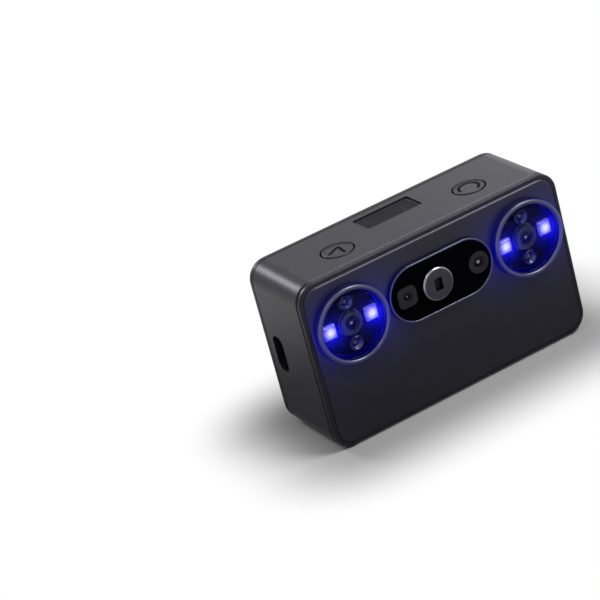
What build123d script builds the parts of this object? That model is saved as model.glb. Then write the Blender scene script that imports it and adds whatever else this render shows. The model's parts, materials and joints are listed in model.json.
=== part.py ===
from build123d import *
import os

# A handheld three-d scanner with windows in front and a screen behind, in separate pieces.
# Millimetres. +Z is up, +X is to the right of someone who faces the windows, and the windows look along -Y.
# The origin lies under the middle of the part, on the surface that it stands on.

# Casing
WIDTH = 120.0                 # left side to right side
HEIGHT = 71.2                 # underside to top
DEPTH = 42.1                  # front face to rear face
CORNER_RADIUS = 8.3           # the four corners, seen from the front
LEAST_RADIUS = 0.4            # smallest corner of an inset outline
FRONT_EDGE_RADIUS = 0.7       # rounding of the front frame's outer edge
REAR_EDGE_RADIUS = 2.6        # rounding of the rear frame's outer edge
EDGE_MARGIN = 0.3             # least part of a frame's side that stays straight
WALL = 2.4
FRONT_FRAME_DEPTH = 2.1       # from the front face to the seam
REAR_FRAME_DEPTH = 3.1
FRONT_SEAM = 1.2              # width of the seam behind the front frame
REAR_SEAM = 1.0               # width of the seam before the rear frame
SEAM_RECESS = 1.0             # how far the seals lie below the casing's surface
HOUSING_CHAMFER = 0.5
TONGUE_LENGTH = 2.0           # how far a frame reaches into the housing
TONGUE_WALL = 1.5
FIT = 0.15                    # gap round a piece that is dropped into place
SCREW_GAP = 0.05              # gap round a screw's shank
OVERRUN = 4.0                 # how far a cut runs past the solid

# Four long screws through the housing's corners
BOSS_OVERLAP = 0.4            # how far the bosses run into the walls
HEAD_GAP = 0.4                # round the screws' heads
CASE_SCREW_RADIUS = 1.0
CASE_SCREW_HEAD_RADIUS = 1.9
CASE_SCREW_HEAD = 1.3
CASE_SCREW_BITE = 3.4         # how far the screws reach into the front frame's posts

# Front panel
RIM_SETBACK = 0.5             # front frame's rim behind the panel's face
RIM_WIDTH = 1.7               # casing's side to the panel's pocket
PANEL_GAP = 0.25
PANEL_THICKNESS = 1.0
PANEL_CHAMFER = 0.5           # round the panel's outer edge

# Round windows
RING_SHARE = 2 / 15           # outer radius of the rings, of the casing's width
RING_RIM = 2.0
RING_SIDE_GAP = 0.5           # ring to the inner face of the side wall
RING_ROUNDING = 0.9
WINDOW_PROUD = 3.5            # how far the rings stand in front of the front face
WINDOW_TOP_GAP = 5.9          # round windows below the top
GLASS_RECESS = 1.3
GLASS_THICKNESS = 1.2
GLASS_LEDGE = 0.9
LAMP_BOARD_THICKNESS = 1.2
CAMERA_SHARE = 0.3            # radius, of a ring's radius, as are the other shares in the windows
CAMERA_FLANGE_LIP = 0.5
CAMERA_FLANGE = 2.0
CAMERA_RIM = 1.4              # round its aperture
CAMERA_APERTURE_DEPTH = 0.8
LENS_GAP = 0.4                # camera to the back of the window glass
LED_OFFSET_SHARE = 0.59375    # lamps to the left and right of the camera
LED_WIDTH_SHARE = 0.3125
LED_HEIGHT_SHARE = 0.35
LED_GAP = 0.7                 # lamps to the back of the window glass
LED_CHAMFER = 0.3
LAMP_OFFSET_SHARE = 0.55625   # small lenses above and below the camera
LAMP_SHARE = 0.1875           # their radius
LAMP_GAP = 0.6                # small lenses to the back of the window glass
LAMP_ROUNDING = 0.7

# Oblong window
WINDOW_SPACING = 1.1          # between a round ring and the oblong one
CENTRE_HEIGHT_SHARE = 1.5
CENTRE_RIM = 0.8
CENTRE_PROUD = 1.9
CENTRE_LEDGE = 1.0
CENTRE_ROUNDING = 0.3
CENTRE_PANEL_RECESS = 0.3
CENTRE_PANEL_THICKNESS = 1.5
PROJECTOR_X = -2.4
PROJECTOR_SHARE = 0.43125     # radius
PROJECTOR_PROUD = 1.8         # in front of the black panel
PROJECTOR_FACE = 1.2
PROJECTOR_WALL = 1.5
PROJECTOR_ROUNDING = 0.8
APERTURE_WIDTH = 3.4
APERTURE_HEIGHT = 5.2
APERTURE_CORNER = 0.4
ENGINE_GAP = 0.3              # light engine to the inside of the silver disc
ENGINE_SIDE = 16.0
ENGINE_DEPTH = 7.0
COLOUR_CAMERA_SHARE = 0.665   # of the way from the projector to the right end
COLOUR_CAMERA_SIZE_SHARE = 0.28125    # radius
COLOUR_CAMERA_RIM = 1.5
SENSOR_SHARE = 0.463          # of the way from the projector to the left end
SENSOR_SIZE_SHARE = 0.53125
SENSOR_CORNER = 2.4
SENSOR_RIM = 1.9              # least width round its aperture
EYE_PROUD = 0.2               # colour camera and sensor in front of the black panel
EYE_DEPTH = 0.9               # depth of their apertures

# Optical bench
BENCH_STAND = 0.6             # front frame to the bench
BENCH_GAP = 0.5               # bench to the front frame's posts and pads
BENCH_CORNER = 4.0
BENCH_THICKNESS = 4.0
BENCH_CUTOUT_WIDTH = 30.0
BENCH_CUTOUT_HEIGHT = 14.0
BENCH_CUTOUT_CORNER = 3.0
BENCH_CUTOUT_X = 20.0
BENCH_CUTOUT_RISE = 20.0
BENCH_SCREW_RADIUS = 0.9
BENCH_SCREW_HEAD_RADIUS = 1.8
BENCH_SCREW_HEAD = 1.1
BENCH_SCREW_BITE = 1.3        # into the front frame
BENCH_SCREW_INSET = 3.6       # from the bench's edges
PAD_RADIUS = 2.6

# Main board
BOARD_SIDE_GAP = 2.5          # board to the port board's screws
BOARD_TOP_GAP = 3.2           # board to the button board's screws
BOARD_FOOT = 8.0              # lower edge of the board above the underside
BOARD_THICKNESS = 1.6
BOARD_STANDOFF = 8.7
BOARD_SCREW_INSET = 3.6
STANDOFF_RADIUS = 2.2
BOARD_SCREW_RADIUS = 0.8
BOARD_SCREW_HEAD_RADIUS = 1.6
BOARD_SCREW_HEAD = 1.0
BOARD_SCREW_BITE = 4.0
CAN_SHARE = 5 / 6             # side of the shield can, of the heat sink's height
CAN_DEPTH = 2.5
SINK_WIDTH = 54.0
SINK_FLEX_GAP = 0.5           # to the end of the ribbon
SINK_BASE = 1.5
SINK_CLEARANCE = 2.8          # fins to the battery
SINK_FIN_WIDTH = 1.2
SINK_FIN_PITCH = 4.0

# Screen
SCREEN_SIDE_RIM = 11.0        # rear frame beside the screen
SCREEN_TOP_RIM = 8.1          # rear frame above and below the screen
SCREEN_CORNER = 1.8
SCREEN_GLASS = 1.1
SCREEN_LEDGE = 2.5
BRACKET_THICKNESS = 1.2
BRACKET_GAP = 0.4             # to the rear frame's tongue
BRACKET_SCREW_RADIUS = 0.75
BRACKET_SCREW_HEAD_RADIUS = 1.4
BRACKET_SCREW_HEAD = 0.9
BRACKET_SCREW_BITE = 1.2
BRACKET_SCREW_SPREAD = 40.0   # between the upper and lower screws

# Battery
BATTERY_WIDTH = 58.0
BATTERY_HEIGHT = 40.0
BATTERY_THICKNESS = 9.0
BATTERY_RISE = 35.5
BATTERY_ROUNDING = 1.5

# Ribbon to the screen
FLEX_WIDTH = 12.0
FLEX_THICKNESS = 0.3
FLEX_X = 20.0
FLEX_RISE = 11.0
FLEX_TAIL = 3.5               # stuck down at each end
FLEX_BEND = 1.2

# Buttons
BUTTON_X = 31.0
BUTTON_SETBACK = 17.0         # from the front face
BUTTON_RADIUS = 6.4
BUTTON_RIM = 0.8              # round the dished top
BUTTON_DISH = 0.15            # depth of the dished top
BUTTON_GROOVE = 0.7
BUTTON_PROUD = 0.2
BUTTON_ROUNDING = 0.4
BUTTON_TRAVEL = 0.6
FLANGE_OVERLAP = 0.9
FLANGE_THICKNESS = 1.0
FLANGE_PLAY = 0.1
STEM_RADIUS = 2.0
STEM_LENGTH = 1.7
SWITCH_CLEARANCE = 0.1        # left over at full travel
SWITCH_SIDE = 6.0
SWITCH_HEIGHT = 2.0
BUTTON_BOARD_END = 8.0        # board beyond the middle of a button
BUTTON_BOARD_DEPTH = 11.0
BUTTON_BOARD_THICKNESS = 1.2
HANGER_X = 18.0
HANGER_RADIUS = 2.2
SMALL_SCREW_RADIUS = 0.8
SMALL_SCREW_HEAD_RADIUS = 1.5
SMALL_SCREW_HEAD = 0.9
SMALL_SCREW_BITE = 3.5

# Vent in the top
VENT_X = -0.8
VENT_SETBACK = 13.9           # from the rear face
VENT_WIDTH = 26.0
VENT_DEPTH = 12.5
VENT_CORNER = 1.2
VENT_LEDGE = 1.0
VENT_RECESS = 0.7
VENT_FLOOR = 0.5              # ledge that the grille lies on
GRILLE_MARGIN = 1.5
GRILLE_SLOT = 0.45
GRILLE_PITCH = 0.9

# Sockets in the right side
PORT_SETBACK = 14.5           # from the front face
PORT_STANDOFF = 7.6           # port board to the side wall
PORT_BOARD_THICKNESS = 1.6
PORT_BOARD_DEPTH = 14.0
PORT_BOARD_FOOT = 5.7         # port board below the lower socket
PORT_BOARD_TOP_GAP = 6.8      # port board to the ceiling
PORT_SCREW_INSET = 3.0
PORT_RECESS = 0.5             # sockets behind the casing's surface
PORT_DISH = 0.9               # width of the dished rim round a socket
PORT_DISH_DEPTH = 0.5
USB_DROP = 18.0               # below the top
USB_LENGTH = 9.0
USB_HEIGHT = 3.4
USB_SHELL = 0.35
USB_TONGUE_LENGTH = 6.6
USB_TONGUE_HEIGHT = 0.8
DATA_SPACING = 10.8           # lower socket below the status light
DATA_LENGTH = 9.6
DATA_HEIGHT = 8.6
DATA_CORNER = 1.0
DATA_SHELL = 0.5
DATA_TONGUE_LENGTH = 7.4
DATA_TONGUE_HEIGHT = 1.9
SOCKET_DEPTH = 6.0
TONGUE_SHORT = 0.6            # how far a socket's tongue stops short of its mouth
LIGHT_SPACING = 12.4          # status light below the upper socket
LIGHT_LENGTH = 4.0
LIGHT_HEIGHT = 0.9

# Strap slot in the left side
STRAP_SETBACK = 12.4          # from the rear face
STRAP_LOWER = 0.6             # middle of the slot below the casing's middle
STRAP_DEPTH = 8.0             # along the casing's depth
STRAP_HEIGHT = 15.6
STRAP_CORNER = 3.6
STRAP_CUP_WALL = 1.2
STRAP_CUP_REACH = 7.0         # behind the side wall
STRAP_BAR_RADIUS = 1.0
STRAP_BAR_INSET = 1.6         # bar's middle behind the side wall
STRAP_BAR_FIT = 0.05

# Underside
COVER_SIDE = 12.0             # right end of the cover to the right side
COVER_SPACING = 2.5           # left end of the cover to the tripod pad
COVER_Y = 1.3
COVER_DEPTH = 25.4
COVER_CORNER = 3.0
COVER_FLOOR = 1.0             # ledge that the cover lies on
COVER_LEDGE = 2.0
FINGER_INSET = 1.5            # from the cover's left end
FINGER_Y = 9.6
FINGER_LENGTH = 29.0
FINGER_WIDTH = 6.5
FINGER_RECESS = 0.7
TRIPOD_SPACING = 4.3          # tripod pad to the label
TRIPOD_Y = 5.6
TRIPOD_BUSH_RADIUS = 5.0
TRIPOD_THREAD_RADIUS = 2.55   # tapping size of a quarter-inch camera thread
TRIPOD_BUSH_LENGTH = 8.0
TRIPOD_BOSS_WALL = 2.0
TRIPOD_BOSS_ROOF = 1.6
TRIPOD_PAD_WIDTH = 15.0
TRIPOD_PAD_DEPTH = 15.6
TRIPOD_PAD_CORNER = 1.5
TRIPOD_PAD_THICKNESS = 0.8
PLUG_Y = -8.9
PLUG_WIDTH = 13.0
PLUG_DEPTH = 5.0
PLUG_CORNER = 1.0
PLUG_THICKNESS = 1.0
LABEL_INSET = 9.2             # label to the left side
LABEL_Y = 5.4
LABEL_WIDTH = 12.5
LABEL_DEPTH = 13.5
LABEL_THICKNESS = 0.2
END_SLOT_INSET = 4.5          # from the sides
END_SLOT_WIDTH = 1.6
END_SLOT_RISE = 2.0
END_SLOT_FRONT = 2.2          # behind the housing's front edge
END_SLOT_LENGTH = 22.5
UNDER_SCREW_INSET = 9.7       # from the sides
UNDER_SCREW_RADIUS = 0.8
UNDER_SCREW_HEAD_RADIUS = 1.5
UNDER_SCREW_HEAD = 0.9
UNDER_SCREW_BITE = 2.2
UNDER_PAD_WIDTH = 4.4
UNDER_PAD_RISE = 1.5

# Antenna on the left wall
ANTENNA_DEPTH = 10.0
ANTENNA_HEIGHT = 28.0
ANTENNA_THICKNESS = 0.4
ANTENNA_SETBACK = 15.3        # from the front face

# Places worked out from the sizes
REAR_Y = (DEPTH + WINDOW_PROUD) / 2
FRONT_Y = REAR_Y - DEPTH
MIDDLE_Z = HEIGHT / 2
SIDE_X = WIDTH / 2
INNER_X = SIDE_X - WALL
CEILING_Z = HEIGHT - WALL
FRAME_BACK_Y = FRONT_Y + FRONT_FRAME_DEPTH
HOUSING_FRONT_Y = FRAME_BACK_Y + FRONT_SEAM
REAR_FRAME_Y = REAR_Y - REAR_FRAME_DEPTH
HOUSING_REAR_Y = REAR_FRAME_Y - REAR_SEAM
BOSS_FRONT_Y = HOUSING_FRONT_Y + TONGUE_LENGTH + FIT
BOSS_REAR_Y = HOUSING_REAR_Y - TONGUE_LENGTH - FIT
BOSS_SHIFT = (CORNER_RADIUS - WALL - CASE_SCREW_HEAD_RADIUS - HEAD_GAP) / 2 ** 0.5
BOSS_X = SIDE_X - CORNER_RADIUS + BOSS_SHIFT
BOSS_Z = MIDDLE_Z - CORNER_RADIUS + BOSS_SHIFT
BOSS_RADIUS = INNER_X - BOSS_X + BOSS_OVERLAP
TONGUE_INSET = WALL + FIT
RIM_Y = FRONT_Y + RIM_SETBACK
POCKET_FLOOR_Y = FRONT_Y + PANEL_THICKNESS
RING_FRONT_Y = FRONT_Y - WINDOW_PROUD
BENCH_FRONT_Y = FRAME_BACK_Y + BENCH_STAND
BENCH_REAR_Y = BENCH_FRONT_Y + BENCH_THICKNESS
BENCH_WIDTH = 2 * (BOSS_X - BOSS_RADIUS - BENCH_GAP)
BENCH_HEIGHT = HEIGHT - 2 * (TONGUE_INSET + TONGUE_WALL + UNDER_PAD_RISE + BENCH_GAP)
RING_RADIUS = RING_SHARE * WIDTH
CAMERA_RADIUS = CAMERA_SHARE * RING_RADIUS
LED_OFFSET = LED_OFFSET_SHARE * RING_RADIUS
LED_WIDTH = LED_WIDTH_SHARE * RING_RADIUS
LED_HEIGHT = LED_HEIGHT_SHARE * RING_RADIUS
LAMP_OFFSET = LAMP_OFFSET_SHARE * RING_RADIUS
LAMP_RADIUS = LAMP_SHARE * RING_RADIUS
CENTRE_HEIGHT = CENTRE_HEIGHT_SHARE * RING_RADIUS
PROJECTOR_RADIUS = PROJECTOR_SHARE * RING_RADIUS
COLOUR_CAMERA_RADIUS = COLOUR_CAMERA_SIZE_SHARE * RING_RADIUS
SENSOR_SIDE = SENSOR_SIZE_SHARE * RING_RADIUS
WINDOW_RISE = HEIGHT - WINDOW_TOP_GAP - RING_RADIUS
WINDOW_X = INNER_X - RING_SIDE_GAP - RING_RADIUS
CENTRE_LENGTH = 2 * (WINDOW_X - RING_RADIUS - WINDOW_SPACING)
CENTRE_PANEL_Y = FRONT_Y - CENTRE_PROUD + CENTRE_PANEL_RECESS
PROJECTOR_Y = CENTRE_PANEL_Y - PROJECTOR_PROUD
EYE_Y = CENTRE_PANEL_Y - EYE_PROUD
SENSOR_START_X = PROJECTOR_X - PROJECTOR_RADIUS
SENSOR_X = SENSOR_START_X - SENSOR_SHARE * (SENSOR_START_X + CENTRE_LENGTH / 2)
CAMERA_START_X = PROJECTOR_X + PROJECTOR_RADIUS
COLOUR_CAMERA_X = CAMERA_START_X + COLOUR_CAMERA_SHARE * (CENTRE_LENGTH / 2 - CAMERA_START_X)
BOARD_FRONT_Y = BENCH_REAR_Y + BOARD_STANDOFF
BOARD_REAR_Y = BOARD_FRONT_Y + BOARD_THICKNESS
CAN_REAR_Y = BOARD_REAR_Y + CAN_DEPTH
BRACKET_FRONT_Y = REAR_FRAME_Y - BRACKET_THICKNESS
BRACKET_INSET = TONGUE_INSET + TONGUE_WALL + BRACKET_GAP
BATTERY_FRONT_Y = BRACKET_FRONT_Y - BATTERY_THICKNESS
BUTTON_Y = FRONT_Y + BUTTON_SETBACK
FLANGE_TOP_Z = CEILING_Z - FLANGE_PLAY
STEM_TOP_Z = FLANGE_TOP_Z - FLANGE_THICKNESS
STEM_END_Z = STEM_TOP_Z - STEM_LENGTH
SWITCH_TOP_Z = STEM_END_Z - BUTTON_TRAVEL - SWITCH_CLEARANCE
BUTTON_BOARD_Z = SWITCH_TOP_Z - SWITCH_HEIGHT
BUTTON_BOARD_LOW_Z = BUTTON_BOARD_Z - BUTTON_BOARD_THICKNESS
BUTTON_BOARD_WIDTH = 2 * (BUTTON_X + BUTTON_BOARD_END)
VENT_Y = REAR_Y - VENT_SETBACK
GRILLE_THICKNESS = WALL - VENT_RECESS - VENT_FLOOR
VENT_FLOOR_Z = HEIGHT - VENT_RECESS - GRILLE_THICKNESS
PORT_Y = FRONT_Y + PORT_SETBACK
PORT_BOARD_X = INNER_X - PORT_STANDOFF
PORT_BOARD_HIGH = CEILING_Z - PORT_BOARD_TOP_GAP
PORT_MOUTH_X = SIDE_X - PORT_RECESS
USB_RISE = HEIGHT - USB_DROP
LIGHT_RISE = USB_RISE - LIGHT_SPACING
DATA_RISE = LIGHT_RISE - DATA_SPACING
PORT_BOARD_LOW = DATA_RISE - DATA_HEIGHT / 2 - PORT_BOARD_FOOT
BOARD_WIDTH = 2 * (PORT_BOARD_X - PORT_BOARD_THICKNESS - SMALL_SCREW_HEAD - BOARD_SIDE_GAP)
BOARD_HIGH_Z = BUTTON_BOARD_LOW_Z - SMALL_SCREW_HEAD - BOARD_TOP_GAP
BOARD_HEIGHT = BOARD_HIGH_Z - BOARD_FOOT
BOARD_RISE = (BOARD_HIGH_Z + BOARD_FOOT) / 2
SINK_HEIGHT = 2 * (BOARD_RISE - FLEX_RISE - FLEX_TAIL - SINK_FLEX_GAP)
CAN_SIDE = CAN_SHARE * SINK_HEIGHT
STRAP_Y = REAR_Y - STRAP_SETBACK
STRAP_RISE = MIDDLE_Z - STRAP_LOWER
STRAP_BAR_X = -INNER_X + STRAP_BAR_INSET
UNDER_SCREW_X = SIDE_X - UNDER_SCREW_INSET
UNDER_SCREW_Y = HOUSING_FRONT_Y + TONGUE_LENGTH / 2
TONGUE_FLOOR_Z = TONGUE_INSET + TONGUE_WALL
SCREEN_WIDTH = WIDTH - 2 * SCREEN_SIDE_RIM
SCREEN_HEIGHT = HEIGHT - 2 * SCREEN_TOP_RIM
LABEL_X = LABEL_INSET + LABEL_WIDTH / 2 - SIDE_X
TRIPOD_X = LABEL_X + LABEL_WIDTH / 2 + TRIPOD_SPACING + TRIPOD_PAD_WIDTH / 2
COVER_LEFT_X = TRIPOD_X + TRIPOD_PAD_WIDTH / 2 + COVER_SPACING
COVER_LENGTH = SIDE_X - COVER_SIDE - COVER_LEFT_X
COVER_X = COVER_LEFT_X + COVER_LENGTH / 2
COVER_THICKNESS = WALL - COVER_FLOOR
FINGER_X = COVER_LEFT_X + FINGER_INSET + FINGER_LENGTH / 2

sides = (-1, 1)
boss_places = [(a * BOSS_X, MIDDLE_Z + b * BOSS_Z) for a in sides for b in sides]
window_places = [(a * WINDOW_X, WINDOW_RISE) for a in sides]
bench_low_z = MIDDLE_Z - BENCH_HEIGHT / 2 + BENCH_SCREW_INSET
bench_high_z = MIDDLE_Z + BENCH_HEIGHT / 2 - BENCH_SCREW_INSET
bench_low_x = BENCH_WIDTH / 2 - BENCH_SCREW_INSET
bench_high_x = WINDOW_X - RING_RADIUS - WINDOW_SPACING / 2
bench_corners = ((bench_low_x, bench_low_z), (bench_high_x, bench_high_z))
bench_places = [(a * x, z) for x, z in bench_corners for a in sides]
board_x = BOARD_WIDTH / 2 - BOARD_SCREW_INSET
board_z = BOARD_HEIGHT / 2 - BOARD_SCREW_INSET
board_places = [(a * board_x, BOARD_RISE + b * board_z) for a in sides for b in sides]
bracket_x = (SCREEN_WIDTH / 2 - SCREEN_LEDGE + SIDE_X - BRACKET_INSET) / 2
bracket_places = [(a * bracket_x, MIDDLE_Z + b * BRACKET_SCREW_SPREAD / 2) for a in sides for b in sides]
button_places = [(a * BUTTON_X, BUTTON_Y) for a in sides]
hanger_places = [(a * HANGER_X, BUTTON_Y) for a in sides]
port_screw_levels = (PORT_BOARD_LOW + PORT_SCREW_INSET, PORT_BOARD_HIGH - PORT_SCREW_INSET)
port_screw_places = [(PORT_Y, z) for z in port_screw_levels]
under_screw_places = [(a * UNDER_SCREW_X, UNDER_SCREW_Y) for a in sides]

os.makedirs("parts", exist_ok=True)


# Planes and shapes that many pieces use

def across(y):
    """A plane across the depth: sketch points are x and z, and the front is the way it looks."""
    return Plane(origin=(0, y, 0), x_dir=(1, 0, 0), z_dir=(0, -1, 0))


def upright(x):
    """A plane along the side walls: sketch points are y and z."""
    return Plane(origin=(x, 0, 0), x_dir=(0, 1, 0), z_dir=(1, 0, 0))


def level(z):
    """A level plane: sketch points are x and y."""
    return Plane.XY.offset(z)


def casing_outline(inset, mode=Mode.ADD):
    """The casing's outline from the front, drawn in by an inset all round."""
    with Locations((0, MIDDLE_Z)):
        radius = max(CORNER_RADIUS - inset, LEAST_RADIUS)
        RectangleRounded(WIDTH - 2 * inset, HEIGHT - 2 * inset, radius, mode=mode)


def depth_bar(places, radius, y_front, y_rear, mode=Mode.ADD):
    """Round bars along the depth at (x, z) places."""
    with BuildSketch(across(y_front)) as profile:
        with Locations(*places):
            Circle(radius)
    extrude(profile.sketch, amount=y_front - y_rear, mode=mode)


def pillar(places, radius, z_low, z_high, mode=Mode.ADD):
    """Upright round bars at (x, y) places."""
    with BuildSketch(level(z_low)) as profile:
        with Locations(*places):
            Circle(radius)
    extrude(profile.sketch, amount=z_high - z_low, mode=mode)


def side_bar(places, radius, x_low, x_high, mode=Mode.ADD):
    """Round bars from side to side at (y, z) places."""
    with BuildSketch(upright(x_low)) as profile:
        with Locations(*places):
            Circle(radius)
    extrude(profile.sketch, amount=x_high - x_low, mode=mode)


def block(x_span, y_span, z_span, mode=Mode.ADD):
    """A straight-sided block between pairs of x, y and z."""
    spans = (x_span, y_span, z_span)
    with Locations(tuple(sum(span) / 2 for span in spans)):
        Box(*[high - low for low, high in spans], mode=mode)


def about(middle, length):
    """The two ends of a length about its middle."""
    return middle - length / 2, middle + length / 2


def slab_across(x, z, width, height, corner, y_front, y_rear, mode=Mode.ADD):
    """A plate across the depth with rounded corners."""
    with BuildSketch(across(y_front)) as profile:
        with Locations((x, z)):
            RectangleRounded(width, height, corner)
    extrude(profile.sketch, amount=y_front - y_rear, mode=mode)


def slab_level(x, y, width, depth, corner, z_low, z_high, mode=Mode.ADD):
    """A level plate with rounded corners."""
    with BuildSketch(level(z_low)) as profile:
        with Locations((x, y)):
            RectangleRounded(width, depth, corner)
    extrude(profile.sketch, amount=z_high - z_low, mode=mode)


def slab_side(y, z, depth, height, corner, x_low, x_high, mode=Mode.ADD):
    """A plate along a side wall with rounded corners."""
    with BuildSketch(upright(x_low)) as profile:
        with Locations((y, z)):
            RectangleRounded(depth, height, corner)
    extrude(profile.sketch, amount=x_high - x_low, mode=mode)


def oblong_across(x, grow, y_front, y_rear, mode=Mode.ADD):
    """The oblong window's outline, made larger or smaller all round, carried along the depth."""
    with BuildSketch(across(y_front)) as profile:
        with Locations((x, WINDOW_RISE)):
            SlotOverall(CENTRE_LENGTH + 2 * grow, CENTRE_HEIGHT + 2 * grow)
    extrude(profile.sketch, amount=y_front - y_rear, mode=mode)


def oblong_side(z, length, height, x_low, x_high, mode=Mode.ADD):
    """A bar with round ends, level with the sockets, carried from side to side."""
    with BuildSketch(upright(x_low)) as profile:
        with Locations((PORT_Y, z)):
            SlotOverall(length, height)
    extrude(profile.sketch, amount=x_high - x_low, mode=mode)


def tongue(y_front, y_rear):
    """The thin rim of a frame that reaches into the housing."""
    with BuildSketch(across(y_front)) as profile:
        casing_outline(TONGUE_INSET)
        casing_outline(TONGUE_INSET + TONGUE_WALL, mode=Mode.SUBTRACT)
    extrude(profile.sketch, amount=y_front - y_rear)


def keep(piece, name):
    """Label a finished piece and write it."""
    piece.part.label = name
    export_step(piece.part, f"parts/{name}.step")


# Mid housing: the tube between the seams, with every opening of the top, the sides and the underside
with BuildPart() as mid_housing:
    with BuildSketch(across(HOUSING_FRONT_Y)):
        casing_outline(0)
    extrude(amount=HOUSING_FRONT_Y - HOUSING_REAR_Y)
    ends = mid_housing.faces().sort_by(Axis.Y)
    chamfer(ends[0].edges() + ends[-1].edges(), HOUSING_CHAMFER)
    with BuildSketch(across(HOUSING_FRONT_Y)):
        casing_outline(WALL)
        with Locations(*boss_places):
            Circle(BOSS_RADIUS, mode=Mode.SUBTRACT)
    extrude(amount=HOUSING_FRONT_Y - HOUSING_REAR_Y, mode=Mode.SUBTRACT)
    for rim_y, end_y in ((HOUSING_FRONT_Y, BOSS_FRONT_Y), (BOSS_REAR_Y, HOUSING_REAR_Y)):
        with BuildSketch(across(rim_y)):
            casing_outline(WALL)
        extrude(amount=rim_y - end_y, mode=Mode.SUBTRACT)
    depth_bar(boss_places, CASE_SCREW_RADIUS + SCREW_GAP, BOSS_FRONT_Y, BOSS_REAR_Y, Mode.SUBTRACT)
    # Top: hangers for the button board, button wells and the vent
    pillar(hanger_places, HANGER_RADIUS, BUTTON_BOARD_Z, CEILING_Z)
    pillar(hanger_places, SMALL_SCREW_RADIUS + SCREW_GAP, BUTTON_BOARD_Z, BUTTON_BOARD_Z + SMALL_SCREW_BITE,
           Mode.SUBTRACT)
    pillar(button_places, BUTTON_RADIUS + BUTTON_GROOVE, CEILING_Z, HEIGHT + OVERRUN, Mode.SUBTRACT)
    slab_level(VENT_X, VENT_Y, VENT_WIDTH, VENT_DEPTH, VENT_CORNER,
               VENT_FLOOR_Z, HEIGHT + OVERRUN, Mode.SUBTRACT)
    slab_level(VENT_X, VENT_Y, VENT_WIDTH - 2 * VENT_LEDGE, VENT_DEPTH - 2 * VENT_LEDGE, LEAST_RADIUS,
               CEILING_Z, HEIGHT, Mode.SUBTRACT)
    # Right side: posts for the port board, sockets with dished rims, and the status light
    side_bar(port_screw_places, HANGER_RADIUS, PORT_BOARD_X, INNER_X)
    side_bar(port_screw_places, SMALL_SCREW_RADIUS + SCREW_GAP,
             PORT_BOARD_X, PORT_BOARD_X + SMALL_SCREW_BITE, Mode.SUBTRACT)
    oblong_side(USB_RISE, USB_LENGTH + 2 * FIT, USB_HEIGHT + 2 * FIT, INNER_X, SIDE_X, Mode.SUBTRACT)
    oblong_side(USB_RISE, USB_LENGTH + 2 * PORT_DISH, USB_HEIGHT + 2 * PORT_DISH,
                SIDE_X - PORT_DISH_DEPTH, SIDE_X, Mode.SUBTRACT)
    slab_side(PORT_Y, DATA_RISE, DATA_LENGTH + 2 * FIT, DATA_HEIGHT + 2 * FIT, DATA_CORNER + FIT,
              INNER_X, SIDE_X, Mode.SUBTRACT)
    slab_side(PORT_Y, DATA_RISE, DATA_LENGTH + 2 * PORT_DISH, DATA_HEIGHT + 2 * PORT_DISH,
              DATA_CORNER + PORT_DISH, SIDE_X - PORT_DISH_DEPTH, SIDE_X, Mode.SUBTRACT)
    oblong_side(LIGHT_RISE, LIGHT_LENGTH + 2 * FIT, LIGHT_HEIGHT + 2 * FIT, INNER_X, SIDE_X, Mode.SUBTRACT)
    # Left side: strap slot
    slab_side(STRAP_Y, STRAP_RISE, STRAP_DEPTH, STRAP_HEIGHT, STRAP_CORNER,
              -SIDE_X, -INNER_X, Mode.SUBTRACT)
    # Underside: cover, tripod socket, plug, label, end slots and screws
    slab_level(COVER_X, COVER_Y, COVER_LENGTH + 2 * FIT, COVER_DEPTH + 2 * FIT, COVER_CORNER + FIT,
               0, COVER_THICKNESS, Mode.SUBTRACT)
    slab_level(COVER_X, COVER_Y, COVER_LENGTH - 2 * COVER_LEDGE, COVER_DEPTH - 2 * COVER_LEDGE,
               COVER_CORNER, 0, WALL, Mode.SUBTRACT)
    pillar([(TRIPOD_X, TRIPOD_Y)], TRIPOD_BUSH_RADIUS + TRIPOD_BOSS_WALL, TRIPOD_PAD_THICKNESS,
           TRIPOD_BUSH_LENGTH + TRIPOD_BOSS_ROOF)
    pillar([(TRIPOD_X, TRIPOD_Y)], TRIPOD_BUSH_RADIUS + FIT, 0, TRIPOD_BUSH_LENGTH, Mode.SUBTRACT)
    slab_level(TRIPOD_X, TRIPOD_Y, TRIPOD_PAD_WIDTH + 2 * FIT, TRIPOD_PAD_DEPTH + 2 * FIT,
               TRIPOD_PAD_CORNER + FIT, 0, TRIPOD_PAD_THICKNESS, Mode.SUBTRACT)
    slab_level(TRIPOD_X, PLUG_Y, PLUG_WIDTH + 2 * FIT, PLUG_DEPTH + 2 * FIT, PLUG_CORNER + FIT,
               0, PLUG_THICKNESS, Mode.SUBTRACT)
    slab_level(LABEL_X, LABEL_Y, LABEL_WIDTH + 2 * FIT, LABEL_DEPTH + 2 * FIT, LEAST_RADIUS,
               0, LABEL_THICKNESS, Mode.SUBTRACT)
    slot_front_y = HOUSING_FRONT_Y + END_SLOT_FRONT
    for side in sides:
        block(about(side * (SIDE_X - END_SLOT_INSET), END_SLOT_WIDTH),
              (slot_front_y, slot_front_y + END_SLOT_LENGTH), (0, END_SLOT_RISE), Mode.SUBTRACT)
    pillar(under_screw_places, UNDER_SCREW_RADIUS + SCREW_GAP, 0, WALL, Mode.SUBTRACT)
    pillar(under_screw_places, UNDER_SCREW_HEAD_RADIUS + SCREW_GAP, 0, UNDER_SCREW_HEAD, Mode.SUBTRACT)
keep(mid_housing, "mid_housing")

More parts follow.
